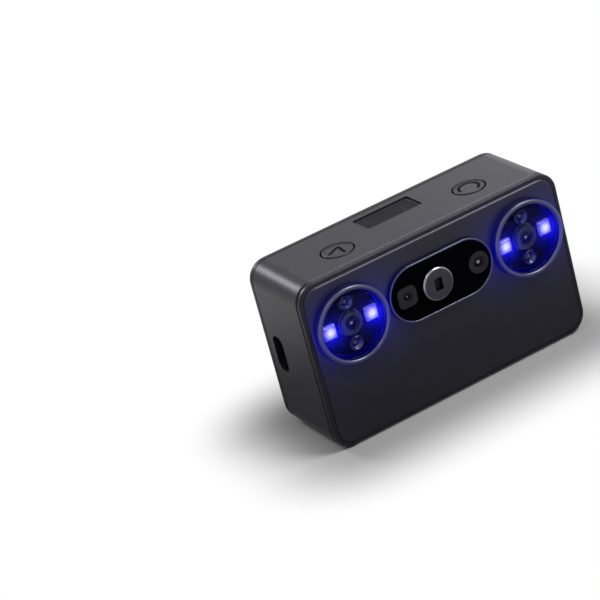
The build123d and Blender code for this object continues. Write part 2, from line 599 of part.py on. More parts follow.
# Front frame: thin rim with a pocket for the panel, window holes, posts and a tongue
with BuildPart() as front_frame:
    with BuildSketch(across(RIM_Y)):
        casing_outline(0)
    extrude(amount=RIM_Y - FRAME_BACK_Y)
    front_edges = front_frame.faces().sort_by(Axis.Y)[0].edges()
    fillet(front_edges, min(FRONT_EDGE_RADIUS, FRAME_BACK_Y - RIM_Y - EDGE_MARGIN))
    tongue(FRAME_BACK_Y, HOUSING_FRONT_Y + TONGUE_LENGTH)
    # The tongue stops beside the round windows, which reach almost to the side walls
    for side in sides:
        block(about(side * (SIDE_X - TONGUE_INSET), 2 * (TONGUE_WALL + FIT)),
              (FRAME_BACK_Y, HOUSING_FRONT_Y + TONGUE_LENGTH), about(WINDOW_RISE, RING_RADIUS), Mode.SUBTRACT)
    for side in sides:
        block(about(side * UNDER_SCREW_X, UNDER_PAD_WIDTH), (FRAME_BACK_Y, HOUSING_FRONT_Y + TONGUE_LENGTH),
              (TONGUE_INSET, TONGUE_FLOOR_Z + UNDER_PAD_RISE))
    with BuildSketch(across(FRAME_BACK_Y)):
        with Locations(*boss_places):
            Circle(BOSS_RADIUS)
        casing_outline(TONGUE_INSET, mode=Mode.INTERSECT)
    extrude(amount=FRAME_BACK_Y - BOSS_FRONT_Y)
    depth_bar(bench_places, PAD_RADIUS, FRAME_BACK_Y, BENCH_FRONT_Y)
    with BuildSketch(across(RIM_Y)):
        casing_outline(RIM_WIDTH)
    extrude(amount=RIM_Y - POCKET_FLOOR_Y, mode=Mode.SUBTRACT)
    depth_bar(window_places, RING_RADIUS + FIT, FRONT_Y - OVERRUN, BOSS_FRONT_Y + OVERRUN, Mode.SUBTRACT)
    oblong_across(0, FIT, FRONT_Y - OVERRUN, BOSS_FRONT_Y + OVERRUN, Mode.SUBTRACT)
    depth_bar(bench_places, BENCH_SCREW_RADIUS + SCREW_GAP,
              BENCH_FRONT_Y - BENCH_SCREW_BITE, BENCH_FRONT_Y, Mode.SUBTRACT)
    depth_bar(boss_places, CASE_SCREW_RADIUS + SCREW_GAP,
              BOSS_FRONT_Y - CASE_SCREW_BITE, BOSS_FRONT_Y, Mode.SUBTRACT)
    pillar(under_screw_places, UNDER_SCREW_RADIUS + SCREW_GAP, 0, WALL + UNDER_SCREW_BITE, Mode.SUBTRACT)
keep(front_frame, "front_frame")

# Front panel: sheet with a chamfered edge in the front frame's pocket
with BuildPart() as front_panel:
    with BuildSketch(across(FRONT_Y)):
        casing_outline(RIM_WIDTH + PANEL_GAP)
    extrude(amount=FRONT_Y - POCKET_FLOOR_Y)
    chamfer(front_panel.faces().sort_by(Axis.Y)[0].edges(), PANEL_CHAMFER)
    depth_bar(window_places, RING_RADIUS + FIT, FRONT_Y, FRAME_BACK_Y, Mode.SUBTRACT)
    oblong_across(0, FIT, FRONT_Y, FRAME_BACK_Y, Mode.SUBTRACT)
keep(front_panel, "front_panel")

# Rear frame: rounded rim with the screen's pocket and a tongue
display_width = SCREEN_WIDTH - 2 * SCREEN_LEDGE
display_height = SCREEN_HEIGHT - 2 * SCREEN_LEDGE
with BuildPart() as rear_frame:
    with BuildSketch(across(REAR_FRAME_Y)):
        casing_outline(0)
    extrude(amount=-REAR_FRAME_DEPTH)
    rear_edges = rear_frame.faces().sort_by(Axis.Y)[-1].edges()
    fillet(rear_edges, min(REAR_EDGE_RADIUS, REAR_FRAME_DEPTH - EDGE_MARGIN))
    tongue(HOUSING_REAR_Y - TONGUE_LENGTH, REAR_FRAME_Y)
    depth_bar(boss_places, CASE_SCREW_HEAD_RADIUS + HEAD_GAP,
              HOUSING_REAR_Y - TONGUE_LENGTH, REAR_FRAME_Y, Mode.SUBTRACT)
    slab_across(0, MIDDLE_Z, SCREEN_WIDTH + 2 * FIT, SCREEN_HEIGHT + 2 * FIT, SCREEN_CORNER + FIT,
                REAR_Y - SCREEN_GLASS, REAR_Y, Mode.SUBTRACT)
    slab_across(0, MIDDLE_Z, display_width + 2 * FIT, display_height + 2 * FIT, LEAST_RADIUS,
                REAR_FRAME_Y, REAR_Y, Mode.SUBTRACT)
    depth_bar(bracket_places, BRACKET_SCREW_RADIUS + SCREW_GAP,
              REAR_FRAME_Y, REAR_FRAME_Y + BRACKET_SCREW_BITE, Mode.SUBTRACT)
keep(rear_frame, "rear_frame")

# Seals: black lines in the two seams
for name, seal_front_y, seal_rear_y in (
        ("front_seal", FRAME_BACK_Y, HOUSING_FRONT_Y), ("rear_seal", HOUSING_REAR_Y, REAR_FRAME_Y)):
    with BuildPart() as seal:
        with BuildSketch(across(seal_front_y)):
            casing_outline(SEAM_RECESS)
            casing_outline(WALL, mode=Mode.SUBTRACT)
        extrude(amount=seal_front_y - seal_rear_y)
    keep(seal, name)

# Long corner screws, headed at the rear of the housing
with BuildPart() as case_screws:
    depth_bar(boss_places, CASE_SCREW_RADIUS, BOSS_FRONT_Y - CASE_SCREW_BITE, BOSS_REAR_Y)
    depth_bar(boss_places, CASE_SCREW_HEAD_RADIUS, BOSS_REAR_Y, BOSS_REAR_Y + CASE_SCREW_HEAD)
keep(case_screws, "case_screws")

# Round windows: ring, glass, lamp board, camera, lamps and small lenses on each side
bore_radius = RING_RADIUS - RING_RIM
cup_radius = bore_radius - GLASS_LEDGE
glass_front_y = RING_FRONT_Y + GLASS_RECESS
glass_rear_y = glass_front_y + GLASS_THICKNESS
lamp_board_y = BENCH_FRONT_Y - LAMP_BOARD_THICKNESS
camera_front_y = glass_rear_y + LENS_GAP
flange_radius = CAMERA_RADIUS + CAMERA_FLANGE_LIP
for side, name in zip(sides, ("left", "right")):
    x = side * WINDOW_X
    middle = [(x, WINDOW_RISE)]
    led_places = [(x + a * LED_OFFSET, WINDOW_RISE) for a in sides]
    lamp_places = [(x, WINDOW_RISE + a * LAMP_OFFSET) for a in sides]

    with BuildPart() as window_ring:
        depth_bar(middle, RING_RADIUS, RING_FRONT_Y, BENCH_FRONT_Y)
        depth_bar(middle, bore_radius, RING_FRONT_Y, glass_rear_y, Mode.SUBTRACT)
        depth_bar(middle, cup_radius, glass_rear_y, BENCH_FRONT_Y, Mode.SUBTRACT)
        fillet(window_ring.faces().sort_by(Axis.Y)[0].edges(), RING_ROUNDING)
    keep(window_ring, f"{name}_window_ring")

    with BuildPart() as window_glass:
        depth_bar(middle, bore_radius - FIT, glass_front_y, glass_rear_y)
    keep(window_glass, f"{name}_window_glass")

    with BuildPart() as lamp_board:
        depth_bar(middle, cup_radius - FIT, lamp_board_y, BENCH_FRONT_Y)
        depth_bar(middle, flange_radius + FIT, lamp_board_y, BENCH_FRONT_Y, Mode.SUBTRACT)
    keep(lamp_board, f"{name}_lamp_board")

    with BuildPart() as camera:
        depth_bar(middle, CAMERA_RADIUS, camera_front_y, BENCH_FRONT_Y)
        depth_bar(middle, flange_radius, BENCH_FRONT_Y - CAMERA_FLANGE, BENCH_FRONT_Y)
        depth_bar(middle, CAMERA_RADIUS - CAMERA_RIM,
                  camera_front_y, camera_front_y + CAMERA_APERTURE_DEPTH, Mode.SUBTRACT)
    keep(camera, f"{name}_camera")

    with BuildPart() as blue_leds:
        for led_x, led_z in led_places:
            block(about(led_x, LED_WIDTH), (glass_rear_y + LED_GAP, lamp_board_y), about(led_z, LED_HEIGHT))
        chamfer(blue_leds.faces().group_by(Axis.Y)[0].edges(), LED_CHAMFER)
    keep(blue_leds, f"{name}_blue_leds")

    with BuildPart() as lamp_lenses:
        depth_bar(lamp_places, LAMP_RADIUS, glass_rear_y + LAMP_GAP, lamp_board_y)
        fillet(lamp_lenses.faces().group_by(Axis.Y)[0].edges(), LAMP_ROUNDING)
    keep(lamp_lenses, f"{name}_lamp_lenses")

# Oblong window: rim and black panel
centre_panel_rear_y = CENTRE_PANEL_Y + CENTRE_PANEL_THICKNESS
projector_middle = [(PROJECTOR_X, WINDOW_RISE)]
colour_camera_middle = [(COLOUR_CAMERA_X, WINDOW_RISE)]
with BuildPart() as centre_window_ring:
    oblong_across(0, 0, FRONT_Y - CENTRE_PROUD, BENCH_FRONT_Y)
    oblong_across(0, -CENTRE_RIM, FRONT_Y - CENTRE_PROUD, centre_panel_rear_y, Mode.SUBTRACT)
    oblong_across(0, -CENTRE_RIM - CENTRE_LEDGE, CENTRE_PANEL_Y, BENCH_FRONT_Y, Mode.SUBTRACT)
    fillet(centre_window_ring.faces().sort_by(Axis.Y)[0].edges(), CENTRE_ROUNDING)
keep(centre_window_ring, "centre_window_ring")

with BuildPart() as centre_panel:
    oblong_across(0, -CENTRE_RIM - FIT, CENTRE_PANEL_Y, centre_panel_rear_y)
    depth_bar(projector_middle, PROJECTOR_RADIUS + FIT, CENTRE_PANEL_Y, centre_panel_rear_y, Mode.SUBTRACT)
    depth_bar(colour_camera_middle, COLOUR_CAMERA_RADIUS + FIT,
              CENTRE_PANEL_Y, centre_panel_rear_y, Mode.SUBTRACT)
    slab_across(SENSOR_X, WINDOW_RISE, SENSOR_SIDE + 2 * FIT, SENSOR_SIDE + 2 * FIT, SENSOR_CORNER + FIT,
                CENTRE_PANEL_Y, centre_panel_rear_y, Mode.SUBTRACT)
keep(centre_panel, "centre_panel")

# Projector: silver cap with an upright aperture, and the light engine that reaches into it
engine_radius = PROJECTOR_RADIUS - PROJECTOR_WALL - FIT
with BuildPart() as projector_ring:
    depth_bar(projector_middle, PROJECTOR_RADIUS, PROJECTOR_Y, BENCH_FRONT_Y)
    fillet(projector_ring.faces().sort_by(Axis.Y)[0].edges(), PROJECTOR_ROUNDING)
    depth_bar(projector_middle, PROJECTOR_RADIUS - PROJECTOR_WALL,
              PROJECTOR_Y + PROJECTOR_FACE, BENCH_FRONT_Y, Mode.SUBTRACT)
    slab_across(PROJECTOR_X, WINDOW_RISE, APERTURE_WIDTH, APERTURE_HEIGHT, APERTURE_CORNER,
                PROJECTOR_Y, PROJECTOR_Y + PROJECTOR_FACE, Mode.SUBTRACT)
keep(projector_ring, "projector_ring")

with BuildPart() as projector_module:
    depth_bar(projector_middle, engine_radius, PROJECTOR_Y + PROJECTOR_FACE + ENGINE_GAP, BENCH_REAR_Y)
    block(about(PROJECTOR_X, ENGINE_SIDE), (BENCH_REAR_Y, BENCH_REAR_Y + ENGINE_DEPTH),
          about(WINDOW_RISE, ENGINE_SIDE))
keep(projector_module, "projector_module")

with BuildPart() as colour_camera:
    depth_bar(colour_camera_middle, COLOUR_CAMERA_RADIUS, EYE_Y, BENCH_FRONT_Y)
    depth_bar(colour_camera_middle, COLOUR_CAMERA_RADIUS - COLOUR_CAMERA_RIM,
              EYE_Y, EYE_Y + EYE_DEPTH, Mode.SUBTRACT)
keep(colour_camera, "colour_camera")

with BuildPart() as distance_sensor:
    slab_across(SENSOR_X, WINDOW_RISE, SENSOR_SIDE, SENSOR_SIDE, SENSOR_CORNER, EYE_Y, BENCH_FRONT_Y)
    depth_bar([(SENSOR_X, WINDOW_RISE)], SENSOR_SIDE / 2 - SENSOR_RIM,
              EYE_Y, EYE_Y + EYE_DEPTH, Mode.SUBTRACT)
keep(distance_sensor, "distance_sensor")

# Optical bench: stiff plate that keeps the cameras and the projector in line
with BuildPart() as optical_bench:
    slab_across(0, MIDDLE_Z, BENCH_WIDTH, BENCH_HEIGHT, BENCH_CORNER, BENCH_FRONT_Y, BENCH_REAR_Y)
    depth_bar(projector_middle, engine_radius + FIT, BENCH_FRONT_Y, BENCH_REAR_Y, Mode.SUBTRACT)
    for side in sides:
        slab_across(side * BENCH_CUTOUT_X, BENCH_CUTOUT_RISE, BENCH_CUTOUT_WIDTH, BENCH_CUTOUT_HEIGHT,
                    BENCH_CUTOUT_CORNER, BENCH_FRONT_Y, BENCH_REAR_Y, Mode.SUBTRACT)
    depth_bar(bench_places, BENCH_SCREW_RADIUS + SCREW_GAP, BENCH_FRONT_Y, BENCH_REAR_Y, Mode.SUBTRACT)
keep(optical_bench, "optical_bench")

with BuildPart() as bench_screws:
    depth_bar(bench_places, BENCH_SCREW_RADIUS, BENCH_FRONT_Y - BENCH_SCREW_BITE, BENCH_REAR_Y)
    depth_bar(bench_places, BENCH_SCREW_HEAD_RADIUS, BENCH_REAR_Y, BENCH_REAR_Y + BENCH_SCREW_HEAD)
keep(bench_screws, "bench_screws")

# Main board on four standoffs, with a shielded processor and its heat sink
with BuildPart() as board_standoffs:
    depth_bar(board_places, STANDOFF_RADIUS, BENCH_REAR_Y, BOARD_FRONT_Y)
    depth_bar(board_places, BOARD_SCREW_RADIUS + SCREW_GAP,
              BOARD_FRONT_Y - BOARD_SCREW_BITE, BOARD_FRONT_Y, Mode.SUBTRACT)
keep(board_standoffs, "board_standoffs")

with BuildPart() as main_board:
    block(about(0, BOARD_WIDTH), (BOARD_FRONT_Y, BOARD_REAR_Y), about(BOARD_RISE, BOARD_HEIGHT))
    depth_bar(board_places, BOARD_SCREW_RADIUS + SCREW_GAP, BOARD_FRONT_Y, BOARD_REAR_Y, Mode.SUBTRACT)
keep(main_board, "main_board")

with BuildPart() as board_screws:
    depth_bar(board_places, BOARD_SCREW_RADIUS, BOARD_FRONT_Y - BOARD_SCREW_BITE, BOARD_REAR_Y)
    depth_bar(board_places, BOARD_SCREW_HEAD_RADIUS, BOARD_REAR_Y, BOARD_REAR_Y + BOARD_SCREW_HEAD)
keep(board_screws, "board_screws")

with BuildPart() as shield_can:
    block(about(0, CAN_SIDE), (BOARD_REAR_Y, CAN_REAR_Y), about(BOARD_RISE, CAN_SIDE))
keep(shield_can, "shield_can")

with BuildPart() as heat_sink:
    fin_y = CAN_REAR_Y + SINK_BASE
    fin_depth = BATTERY_FRONT_Y - SINK_CLEARANCE - fin_y
    fin_count = int((SINK_WIDTH - SINK_FIN_WIDTH) / SINK_FIN_PITCH) + 1
    block(about(0, SINK_WIDTH), (CAN_REAR_Y, fin_y), about(BOARD_RISE, SINK_HEIGHT))
    with Locations((0, fin_y + fin_depth / 2, BOARD_RISE)):
        with GridLocations(SINK_FIN_PITCH, 0, fin_count, 1):
            Box(SINK_FIN_WIDTH, fin_depth, SINK_HEIGHT)
keep(heat_sink, "heat_sink")

# Screen: cover glass, display and the bracket behind them
with BuildPart() as screen_glass:
    slab_across(0, MIDDLE_Z, SCREEN_WIDTH, SCREEN_HEIGHT, SCREEN_CORNER, REAR_Y - SCREEN_GLASS, REAR_Y)
keep(screen_glass, "screen_glass")

with BuildPart() as display_panel:
    block(about(0, display_width), (REAR_FRAME_Y, REAR_Y - SCREEN_GLASS), about(MIDDLE_Z, display_height))
keep(display_panel, "display_panel")

with BuildPart() as display_bracket:
    with BuildSketch(across(BRACKET_FRONT_Y)):
        casing_outline(BRACKET_INSET)
    extrude(amount=-BRACKET_THICKNESS)
    depth_bar(bracket_places, BRACKET_SCREW_RADIUS + SCREW_GAP,
              BRACKET_FRONT_Y, REAR_FRAME_Y, Mode.SUBTRACT)
keep(display_bracket, "display_bracket")

with BuildPart() as bracket_screws:
    depth_bar(bracket_places, BRACKET_SCREW_RADIUS, BRACKET_FRONT_Y, REAR_FRAME_Y + BRACKET_SCREW_BITE)
    depth_bar(bracket_places, BRACKET_SCREW_HEAD_RADIUS,
              BRACKET_FRONT_Y - BRACKET_SCREW_HEAD, BRACKET_FRONT_Y)
keep(bracket_screws, "bracket_screws")

# Battery, stuck to the bracket
with BuildPart() as battery:
    block(about(0, BATTERY_WIDTH), (BATTERY_FRONT_Y, BRACKET_FRONT_Y), about(BATTERY_RISE, BATTERY_HEIGHT))
    fillet(battery.edges().filter_by(Axis.X), BATTERY_ROUNDING)
keep(battery, "battery")

# Ribbon from the main board to the bracket, stuck flat at both ends
with BuildPart() as display_flex:
    flex_front_y = BOARD_REAR_Y + FLEX_THICKNESS / 2
    flex_rear_y = BRACKET_FRONT_Y - FLEX_THICKNESS / 2
    with BuildSketch(upright(FLEX_X - FLEX_WIDTH / 2)):
        with BuildLine():
            FilletPolyline((flex_front_y, FLEX_RISE + FLEX_TAIL), (flex_front_y, FLEX_RISE),
                           (flex_rear_y, FLEX_RISE), (flex_rear_y, FLEX_RISE + FLEX_TAIL), radius=FLEX_BEND)
        trace(line_width=FLEX_THICKNESS)
    extrude(amount=FLEX_WIDTH)
keep(display_flex, "display_flex")

# Buttons in the top, each with a dished top, a flange under the wall and a stem above its switch
for (button_x, button_y), name in zip(button_places, ("scan_button", "power_button")):
    with BuildPart() as button:
        pillar([(button_x, button_y)], BUTTON_RADIUS, STEM_TOP_Z, HEIGHT + BUTTON_PROUD)
        fillet(button.faces().sort_by(Axis.Z)[-1].edges(), BUTTON_ROUNDING)
        pillar([(button_x, button_y)], BUTTON_RADIUS - BUTTON_RIM,
               HEIGHT + BUTTON_PROUD - BUTTON_DISH, HEIGHT + BUTTON_PROUD, Mode.SUBTRACT)
        pillar([(button_x, button_y)], BUTTON_RADIUS + BUTTON_GROOVE + FLANGE_OVERLAP,
               STEM_TOP_Z, FLANGE_TOP_Z)
        pillar([(button_x, button_y)], STEM_RADIUS, STEM_END_Z, STEM_TOP_Z)
    keep(button, name)

with BuildPart() as button_switches:
    for button_x, button_y in button_places:
        block(about(button_x, SWITCH_SIDE), about(button_y, SWITCH_SIDE), (BUTTON_BOARD_Z, SWITCH_TOP_Z))
keep(button_switches, "button_switches")

with BuildPart() as button_board:
    block(about(0, BUTTON_BOARD_WIDTH), about(BUTTON_Y, BUTTON_BOARD_DEPTH),
          (BUTTON_BOARD_LOW_Z, BUTTON_BOARD_Z))
    pillar(hanger_places, SMALL_SCREW_RADIUS + SCREW_GAP,
           BUTTON_BOARD_LOW_Z, BUTTON_BOARD_Z, Mode.SUBTRACT)
keep(button_board, "button_board")

with BuildPart() as button_board_screws:
    pillar(hanger_places, SMALL_SCREW_RADIUS, BUTTON_BOARD_LOW_Z, BUTTON_BOARD_Z + SMALL_SCREW_BITE)
    pillar(hanger_places, SMALL_SCREW_HEAD_RADIUS,
           BUTTON_BOARD_LOW_Z - SMALL_SCREW_HEAD, BUTTON_BOARD_LOW_Z)
keep(button_board_screws, "button_board_screws")

# Vent grille, let into the top below its surface
with BuildPart() as vent_grille:
    slab_level(VENT_X, VENT_Y, VENT_WIDTH - 2 * FIT, VENT_DEPTH - 2 * FIT, VENT_CORNER - FIT,
               VENT_FLOOR_Z, VENT_FLOOR_Z + GRILLE_THICKNESS)
    slot_count = int((VENT_WIDTH - 2 * GRILLE_MARGIN - GRILLE_SLOT) / GRILLE_PITCH) + 1
    with BuildSketch(level(VENT_FLOOR_Z)):
        with Locations((VENT_X, VENT_Y)):
            with GridLocations(GRILLE_PITCH, 0, slot_count, 1):
                Rectangle(GRILLE_SLOT, VENT_DEPTH - 2 * GRILLE_MARGIN)
    extrude(amount=GRILLE_THICKNESS, mode=Mode.SUBTRACT)
keep(vent_grille, "vent_grille")

# Sockets on the port board: a shell with a floor, and a tongue in its middle
socket_floor_x = PORT_MOUTH_X - SOCKET_DEPTH
with BuildPart() as usb_port:
    oblong_side(USB_RISE, USB_LENGTH, USB_HEIGHT, PORT_BOARD_X, PORT_MOUTH_X)
    oblong_side(USB_RISE, USB_LENGTH - 2 * USB_SHELL, USB_HEIGHT - 2 * USB_SHELL,
                socket_floor_x, PORT_MOUTH_X, Mode.SUBTRACT)
    block((socket_floor_x, PORT_MOUTH_X - TONGUE_SHORT), about(PORT_Y, USB_TONGUE_LENGTH),
          about(USB_RISE, USB_TONGUE_HEIGHT))
keep(usb_port, "usb_port")

with BuildPart() as data_port:
    slab_side(PORT_Y, DATA_RISE, DATA_LENGTH, DATA_HEIGHT, DATA_CORNER, PORT_BOARD_X, PORT_MOUTH_X)
    slab_side(PORT_Y, DATA_RISE, DATA_LENGTH - 2 * DATA_SHELL, DATA_HEIGHT - 2 * DATA_SHELL,
              DATA_CORNER - DATA_SHELL, socket_floor_x, PORT_MOUTH_X, Mode.SUBTRACT)
    block((socket_floor_x, PORT_MOUTH_X - TONGUE_SHORT), about(PORT_Y, DATA_TONGUE_LENGTH),
          about(DATA_RISE, DATA_TONGUE_HEIGHT))
keep(data_port, "data_port")

with BuildPart() as status_light:
    oblong_side(LIGHT_RISE, LIGHT_LENGTH, LIGHT_HEIGHT, PORT_BOARD_X, SIDE_X)
keep(status_light, "status_light")

with BuildPart() as port_board:
    board_back_x = PORT_BOARD_X - PORT_BOARD_THICKNESS
    block((board_back_x, PORT_BOARD_X), about(PORT_Y, PORT_BOARD_DEPTH), (PORT_BOARD_LOW, PORT_BOARD_HIGH))
    side_bar(port_screw_places, SMALL_SCREW_RADIUS + SCREW_GAP, board_back_x, PORT_BOARD_X, Mode.SUBTRACT)
keep(port_board, "port_board")

with BuildPart() as port_board_screws:
    side_bar(port_screw_places, SMALL_SCREW_RADIUS, board_back_x, PORT_BOARD_X + SMALL_SCREW_BITE)
    side_bar(port_screw_places, SMALL_SCREW_HEAD_RADIUS, board_back_x - SMALL_SCREW_HEAD, board_back_x)
keep(port_board_screws, "port_board_screws")

# Strap slot: cup behind the side wall, and the bar that a strap loops round
cup_outer_x = -INNER_X + STRAP_CUP_REACH
bar_length = STRAP_DEPTH + 2 * STRAP_CUP_WALL
with BuildPart() as strap_cup:
    slab_side(STRAP_Y, STRAP_RISE, bar_length, STRAP_HEIGHT + 2 * STRAP_CUP_WALL,
              STRAP_CORNER + STRAP_CUP_WALL, -INNER_X, cup_outer_x)
    slab_side(STRAP_Y, STRAP_RISE, STRAP_DEPTH, STRAP_HEIGHT, STRAP_CORNER,
              -INNER_X, cup_outer_x - STRAP_CUP_WALL, Mode.SUBTRACT)
    with BuildSketch(across(STRAP_Y - bar_length / 2)):
        with Locations((STRAP_BAR_X, STRAP_RISE)):
            Circle(STRAP_BAR_RADIUS + STRAP_BAR_FIT)
    extrude(amount=-bar_length, mode=Mode.SUBTRACT)
keep(strap_cup, "strap_cup")

with BuildPart() as strap_bar:
    depth_bar([(STRAP_BAR_X, STRAP_RISE)], STRAP_BAR_RADIUS, *about(STRAP_Y, bar_length))
keep(strap_bar, "strap_bar")

# Underside: cover with a finger recess, tripod socket and pad, plug, bare label and screws
with BuildPart() as bottom_cover:
    slab_level(COVER_X, COVER_Y, COVER_LENGTH, COVER_DEPTH, COVER_CORNER, 0, COVER_THICKNESS)
    with BuildSketch(level(0)):
        with Locations((FINGER_X, FINGER_Y)):
            SlotOverall(FINGER_LENGTH, FINGER_WIDTH)
    extrude(amount=FINGER_RECESS, mode=Mode.SUBTRACT)
keep(bottom_cover, "bottom_cover")

tripod_middle = [(TRIPOD_X, TRIPOD_Y)]
with BuildPart() as tripod_bush:
    pillar(tripod_middle, TRIPOD_BUSH_RADIUS, 0, TRIPOD_BUSH_LENGTH)
    pillar(tripod_middle, TRIPOD_THREAD_RADIUS, 0, TRIPOD_BUSH_LENGTH, Mode.SUBTRACT)
keep(tripod_bush, "tripod_bush")

with BuildPart() as tripod_pad:
    slab_level(TRIPOD_X, TRIPOD_Y, TRIPOD_PAD_WIDTH, TRIPOD_PAD_DEPTH, TRIPOD_PAD_CORNER,
               0, TRIPOD_PAD_THICKNESS)
    pillar(tripod_middle, TRIPOD_BUSH_RADIUS + FIT, 0, TRIPOD_PAD_THICKNESS, Mode.SUBTRACT)
keep(tripod_pad, "tripod_pad")

with BuildPart() as under_plug:
    slab_level(TRIPOD_X, PLUG_Y, PLUG_WIDTH, PLUG_DEPTH, PLUG_CORNER, 0, PLUG_THICKNESS)
keep(under_plug, "under_plug")

with BuildPart() as blank_label:
    slab_level(LABEL_X, LABEL_Y, LABEL_WIDTH, LABEL_DEPTH, LEAST_RADIUS, 0, LABEL_THICKNESS)
keep(blank_label, "blank_label")

with BuildPart() as under_screws:
    pillar(under_screw_places, UNDER_SCREW_HEAD_RADIUS, 0, UNDER_SCREW_HEAD)
    pillar(under_screw_places, UNDER_SCREW_RADIUS, UNDER_SCREW_HEAD, WALL + UNDER_SCREW_BITE)
keep(under_screws, "under_screws")

# Antenna, stuck to the left wall
with BuildPart() as antenna:
    block((-INNER_X, -INNER_X + ANTENNA_THICKNESS), about(FRONT_Y + ANTENNA_SETBACK, ANTENNA_DEPTH),
          about(MIDDLE_Z, ANTENNA_HEIGHT))
keep(antenna, "antenna")
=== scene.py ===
# %% [markdown]
# # A handheld three-d scanner
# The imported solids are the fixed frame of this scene: they give every shape its place and are never moved.
# This script gives them finishes that look like the real materials, and adds the small pieces that show on
# the real thing: lens glass, button marks, a screw thread and the picture on the screen.

# %% Load the frame
import json
import math

import bmesh
import bpy
import numpy as np
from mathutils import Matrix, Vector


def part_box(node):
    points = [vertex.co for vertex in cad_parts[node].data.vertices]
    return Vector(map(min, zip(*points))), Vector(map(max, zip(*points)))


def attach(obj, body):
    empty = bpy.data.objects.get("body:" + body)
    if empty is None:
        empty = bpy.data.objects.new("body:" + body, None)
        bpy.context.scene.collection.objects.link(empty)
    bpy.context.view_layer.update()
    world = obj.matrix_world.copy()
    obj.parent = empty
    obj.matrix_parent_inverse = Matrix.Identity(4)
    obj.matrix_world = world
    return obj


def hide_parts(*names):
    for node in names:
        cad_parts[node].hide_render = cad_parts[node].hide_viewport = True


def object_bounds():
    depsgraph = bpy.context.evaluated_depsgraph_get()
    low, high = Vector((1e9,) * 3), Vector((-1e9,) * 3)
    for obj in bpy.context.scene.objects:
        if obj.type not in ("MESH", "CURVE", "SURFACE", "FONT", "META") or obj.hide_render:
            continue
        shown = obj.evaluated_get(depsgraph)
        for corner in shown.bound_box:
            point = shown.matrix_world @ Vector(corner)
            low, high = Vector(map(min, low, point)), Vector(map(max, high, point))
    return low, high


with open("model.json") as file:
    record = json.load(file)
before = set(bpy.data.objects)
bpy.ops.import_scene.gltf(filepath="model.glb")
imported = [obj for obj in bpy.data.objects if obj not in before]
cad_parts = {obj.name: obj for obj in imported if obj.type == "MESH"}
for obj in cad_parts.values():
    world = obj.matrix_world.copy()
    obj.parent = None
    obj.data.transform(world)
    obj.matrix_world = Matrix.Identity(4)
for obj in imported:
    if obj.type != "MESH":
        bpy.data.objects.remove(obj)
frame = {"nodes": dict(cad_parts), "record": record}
cad_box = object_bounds()
nodes = frame["nodes"]
MM = 0.001


def span(node):
    """Lowest and highest corner of a CAD node, in millimetres."""
    low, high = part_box(node)
    return np.array(low) / MM, np.array(high) / MM


print("CAD nodes:", len(nodes), "box in mm:", [round(v / MM, 2) for corner in cad_box for v in corner])

# %% [markdown]
# ## Colours and shader nodes
# Colours are written as sRGB hex values, as a paint program shows them, and shaders want linear light, so
# one function converts them. One more function adds a shader node: it sets the node's own settings, then
# fills each socket with a plain value or with a link.

# %% Colour and node helpers
def linear(hex_colour):
    """sRGB to linear light: a straight line near black and a power of 2.4 above it."""
    srgb = np.array([int(hex_colour[i:i + 2], 16) for i in (1, 3, 5)]) / 255
    light = np.where(srgb <= 0.04045, srgb / 12.92, ((srgb + 0.055) / 1.055) ** 2.4)
    return (*light.tolist(), 1.0)


def add(tree, kind, sockets=None, **settings):
    """Add one shader node with its settings. A socket takes a value, or a link from another node's output."""
    node = tree.nodes.new(kind)
    for name, value in settings.items():
        setattr(node, name, value)
    for name, value in (sockets or {}).items():
        if isinstance(value, bpy.types.NodeSocket):
            tree.links.new(value, node.inputs[name])
        else:
            node.inputs[name].default_value = value
    return node


print("white is", [round(c, 3) for c in linear("#FFFFFF")])

# %% [markdown]
# ## Steps that repeat in shaders
# Most finishes are built from the same few steps: arithmetic on numbers or vectors, a range carried onto
# another, a mix of two colours, a noise of a given width and the main shader at the end. Each step is a
# small function here.

# %% Shader steps
def empty_finish(name):
    """A new material with an empty node tree, and the place of each point on the part."""
    finish = bpy.data.materials.new(name)
    finish.use_nodes = True
    tree = finish.node_tree
    tree.nodes.clear()
    return finish, tree, add(tree, "ShaderNodeTexCoord").outputs["Object"]


def number(tree, operation, *values, **settings):
    """Result of one step of arithmetic on numbers."""
    return add(tree, "ShaderNodeMath", dict(enumerate(values)), operation=operation, **settings).outputs[0]


def vector(tree, operation, *values):
    """Result of one step of arithmetic on vectors. A length is a number."""
    outputs = add(tree, "ShaderNodeVectorMath", dict(enumerate(values)), operation=operation).outputs
    return outputs["Value"] if operation == "LENGTH" else outputs[0]


def ranged(tree, value, start=(0, 1), end=(0, 1), **settings):
    """A value carried from the range start onto the range end, and held within it."""
    sockets = {"Value": value, "From Min": start[0], "From Max": start[1], "To Min": end[0], "To Max": end[1]}
    return add(tree, "ShaderNodeMapRange", sockets, **settings).outputs[0]


def blend(tree, share, first, second):
    """Two colours mixed by a share. Sockets 6 and 7 are this node's colours, and output 2 its result."""
    return add(tree, "ShaderNodeMix", {0: share, 6: first, 7: second}, data_type="RGBA").outputs[2]


def noise(tree, place, width_mm, detail):
    """A noise with clouds of about the given width."""
    sockets = {"Vector": place, "Scale": 1 / (width_mm * MM), "Detail": detail}
    return add(tree, "ShaderNodeTexNoise", sockets).outputs[0]


def shade_with(tree, **values):
    """End a material with the main shader. The names of its sockets are written with underscores."""
    sockets = {name.replace("_", " "): value for name, value in values.items()}
    shader = add(tree, "ShaderNodeBsdfPrincipled", sockets)
    add(tree, "ShaderNodeOutputMaterial", {"Surface": shader.outputs[0]})


print("shader steps ready, sizes in units of", MM, "m")

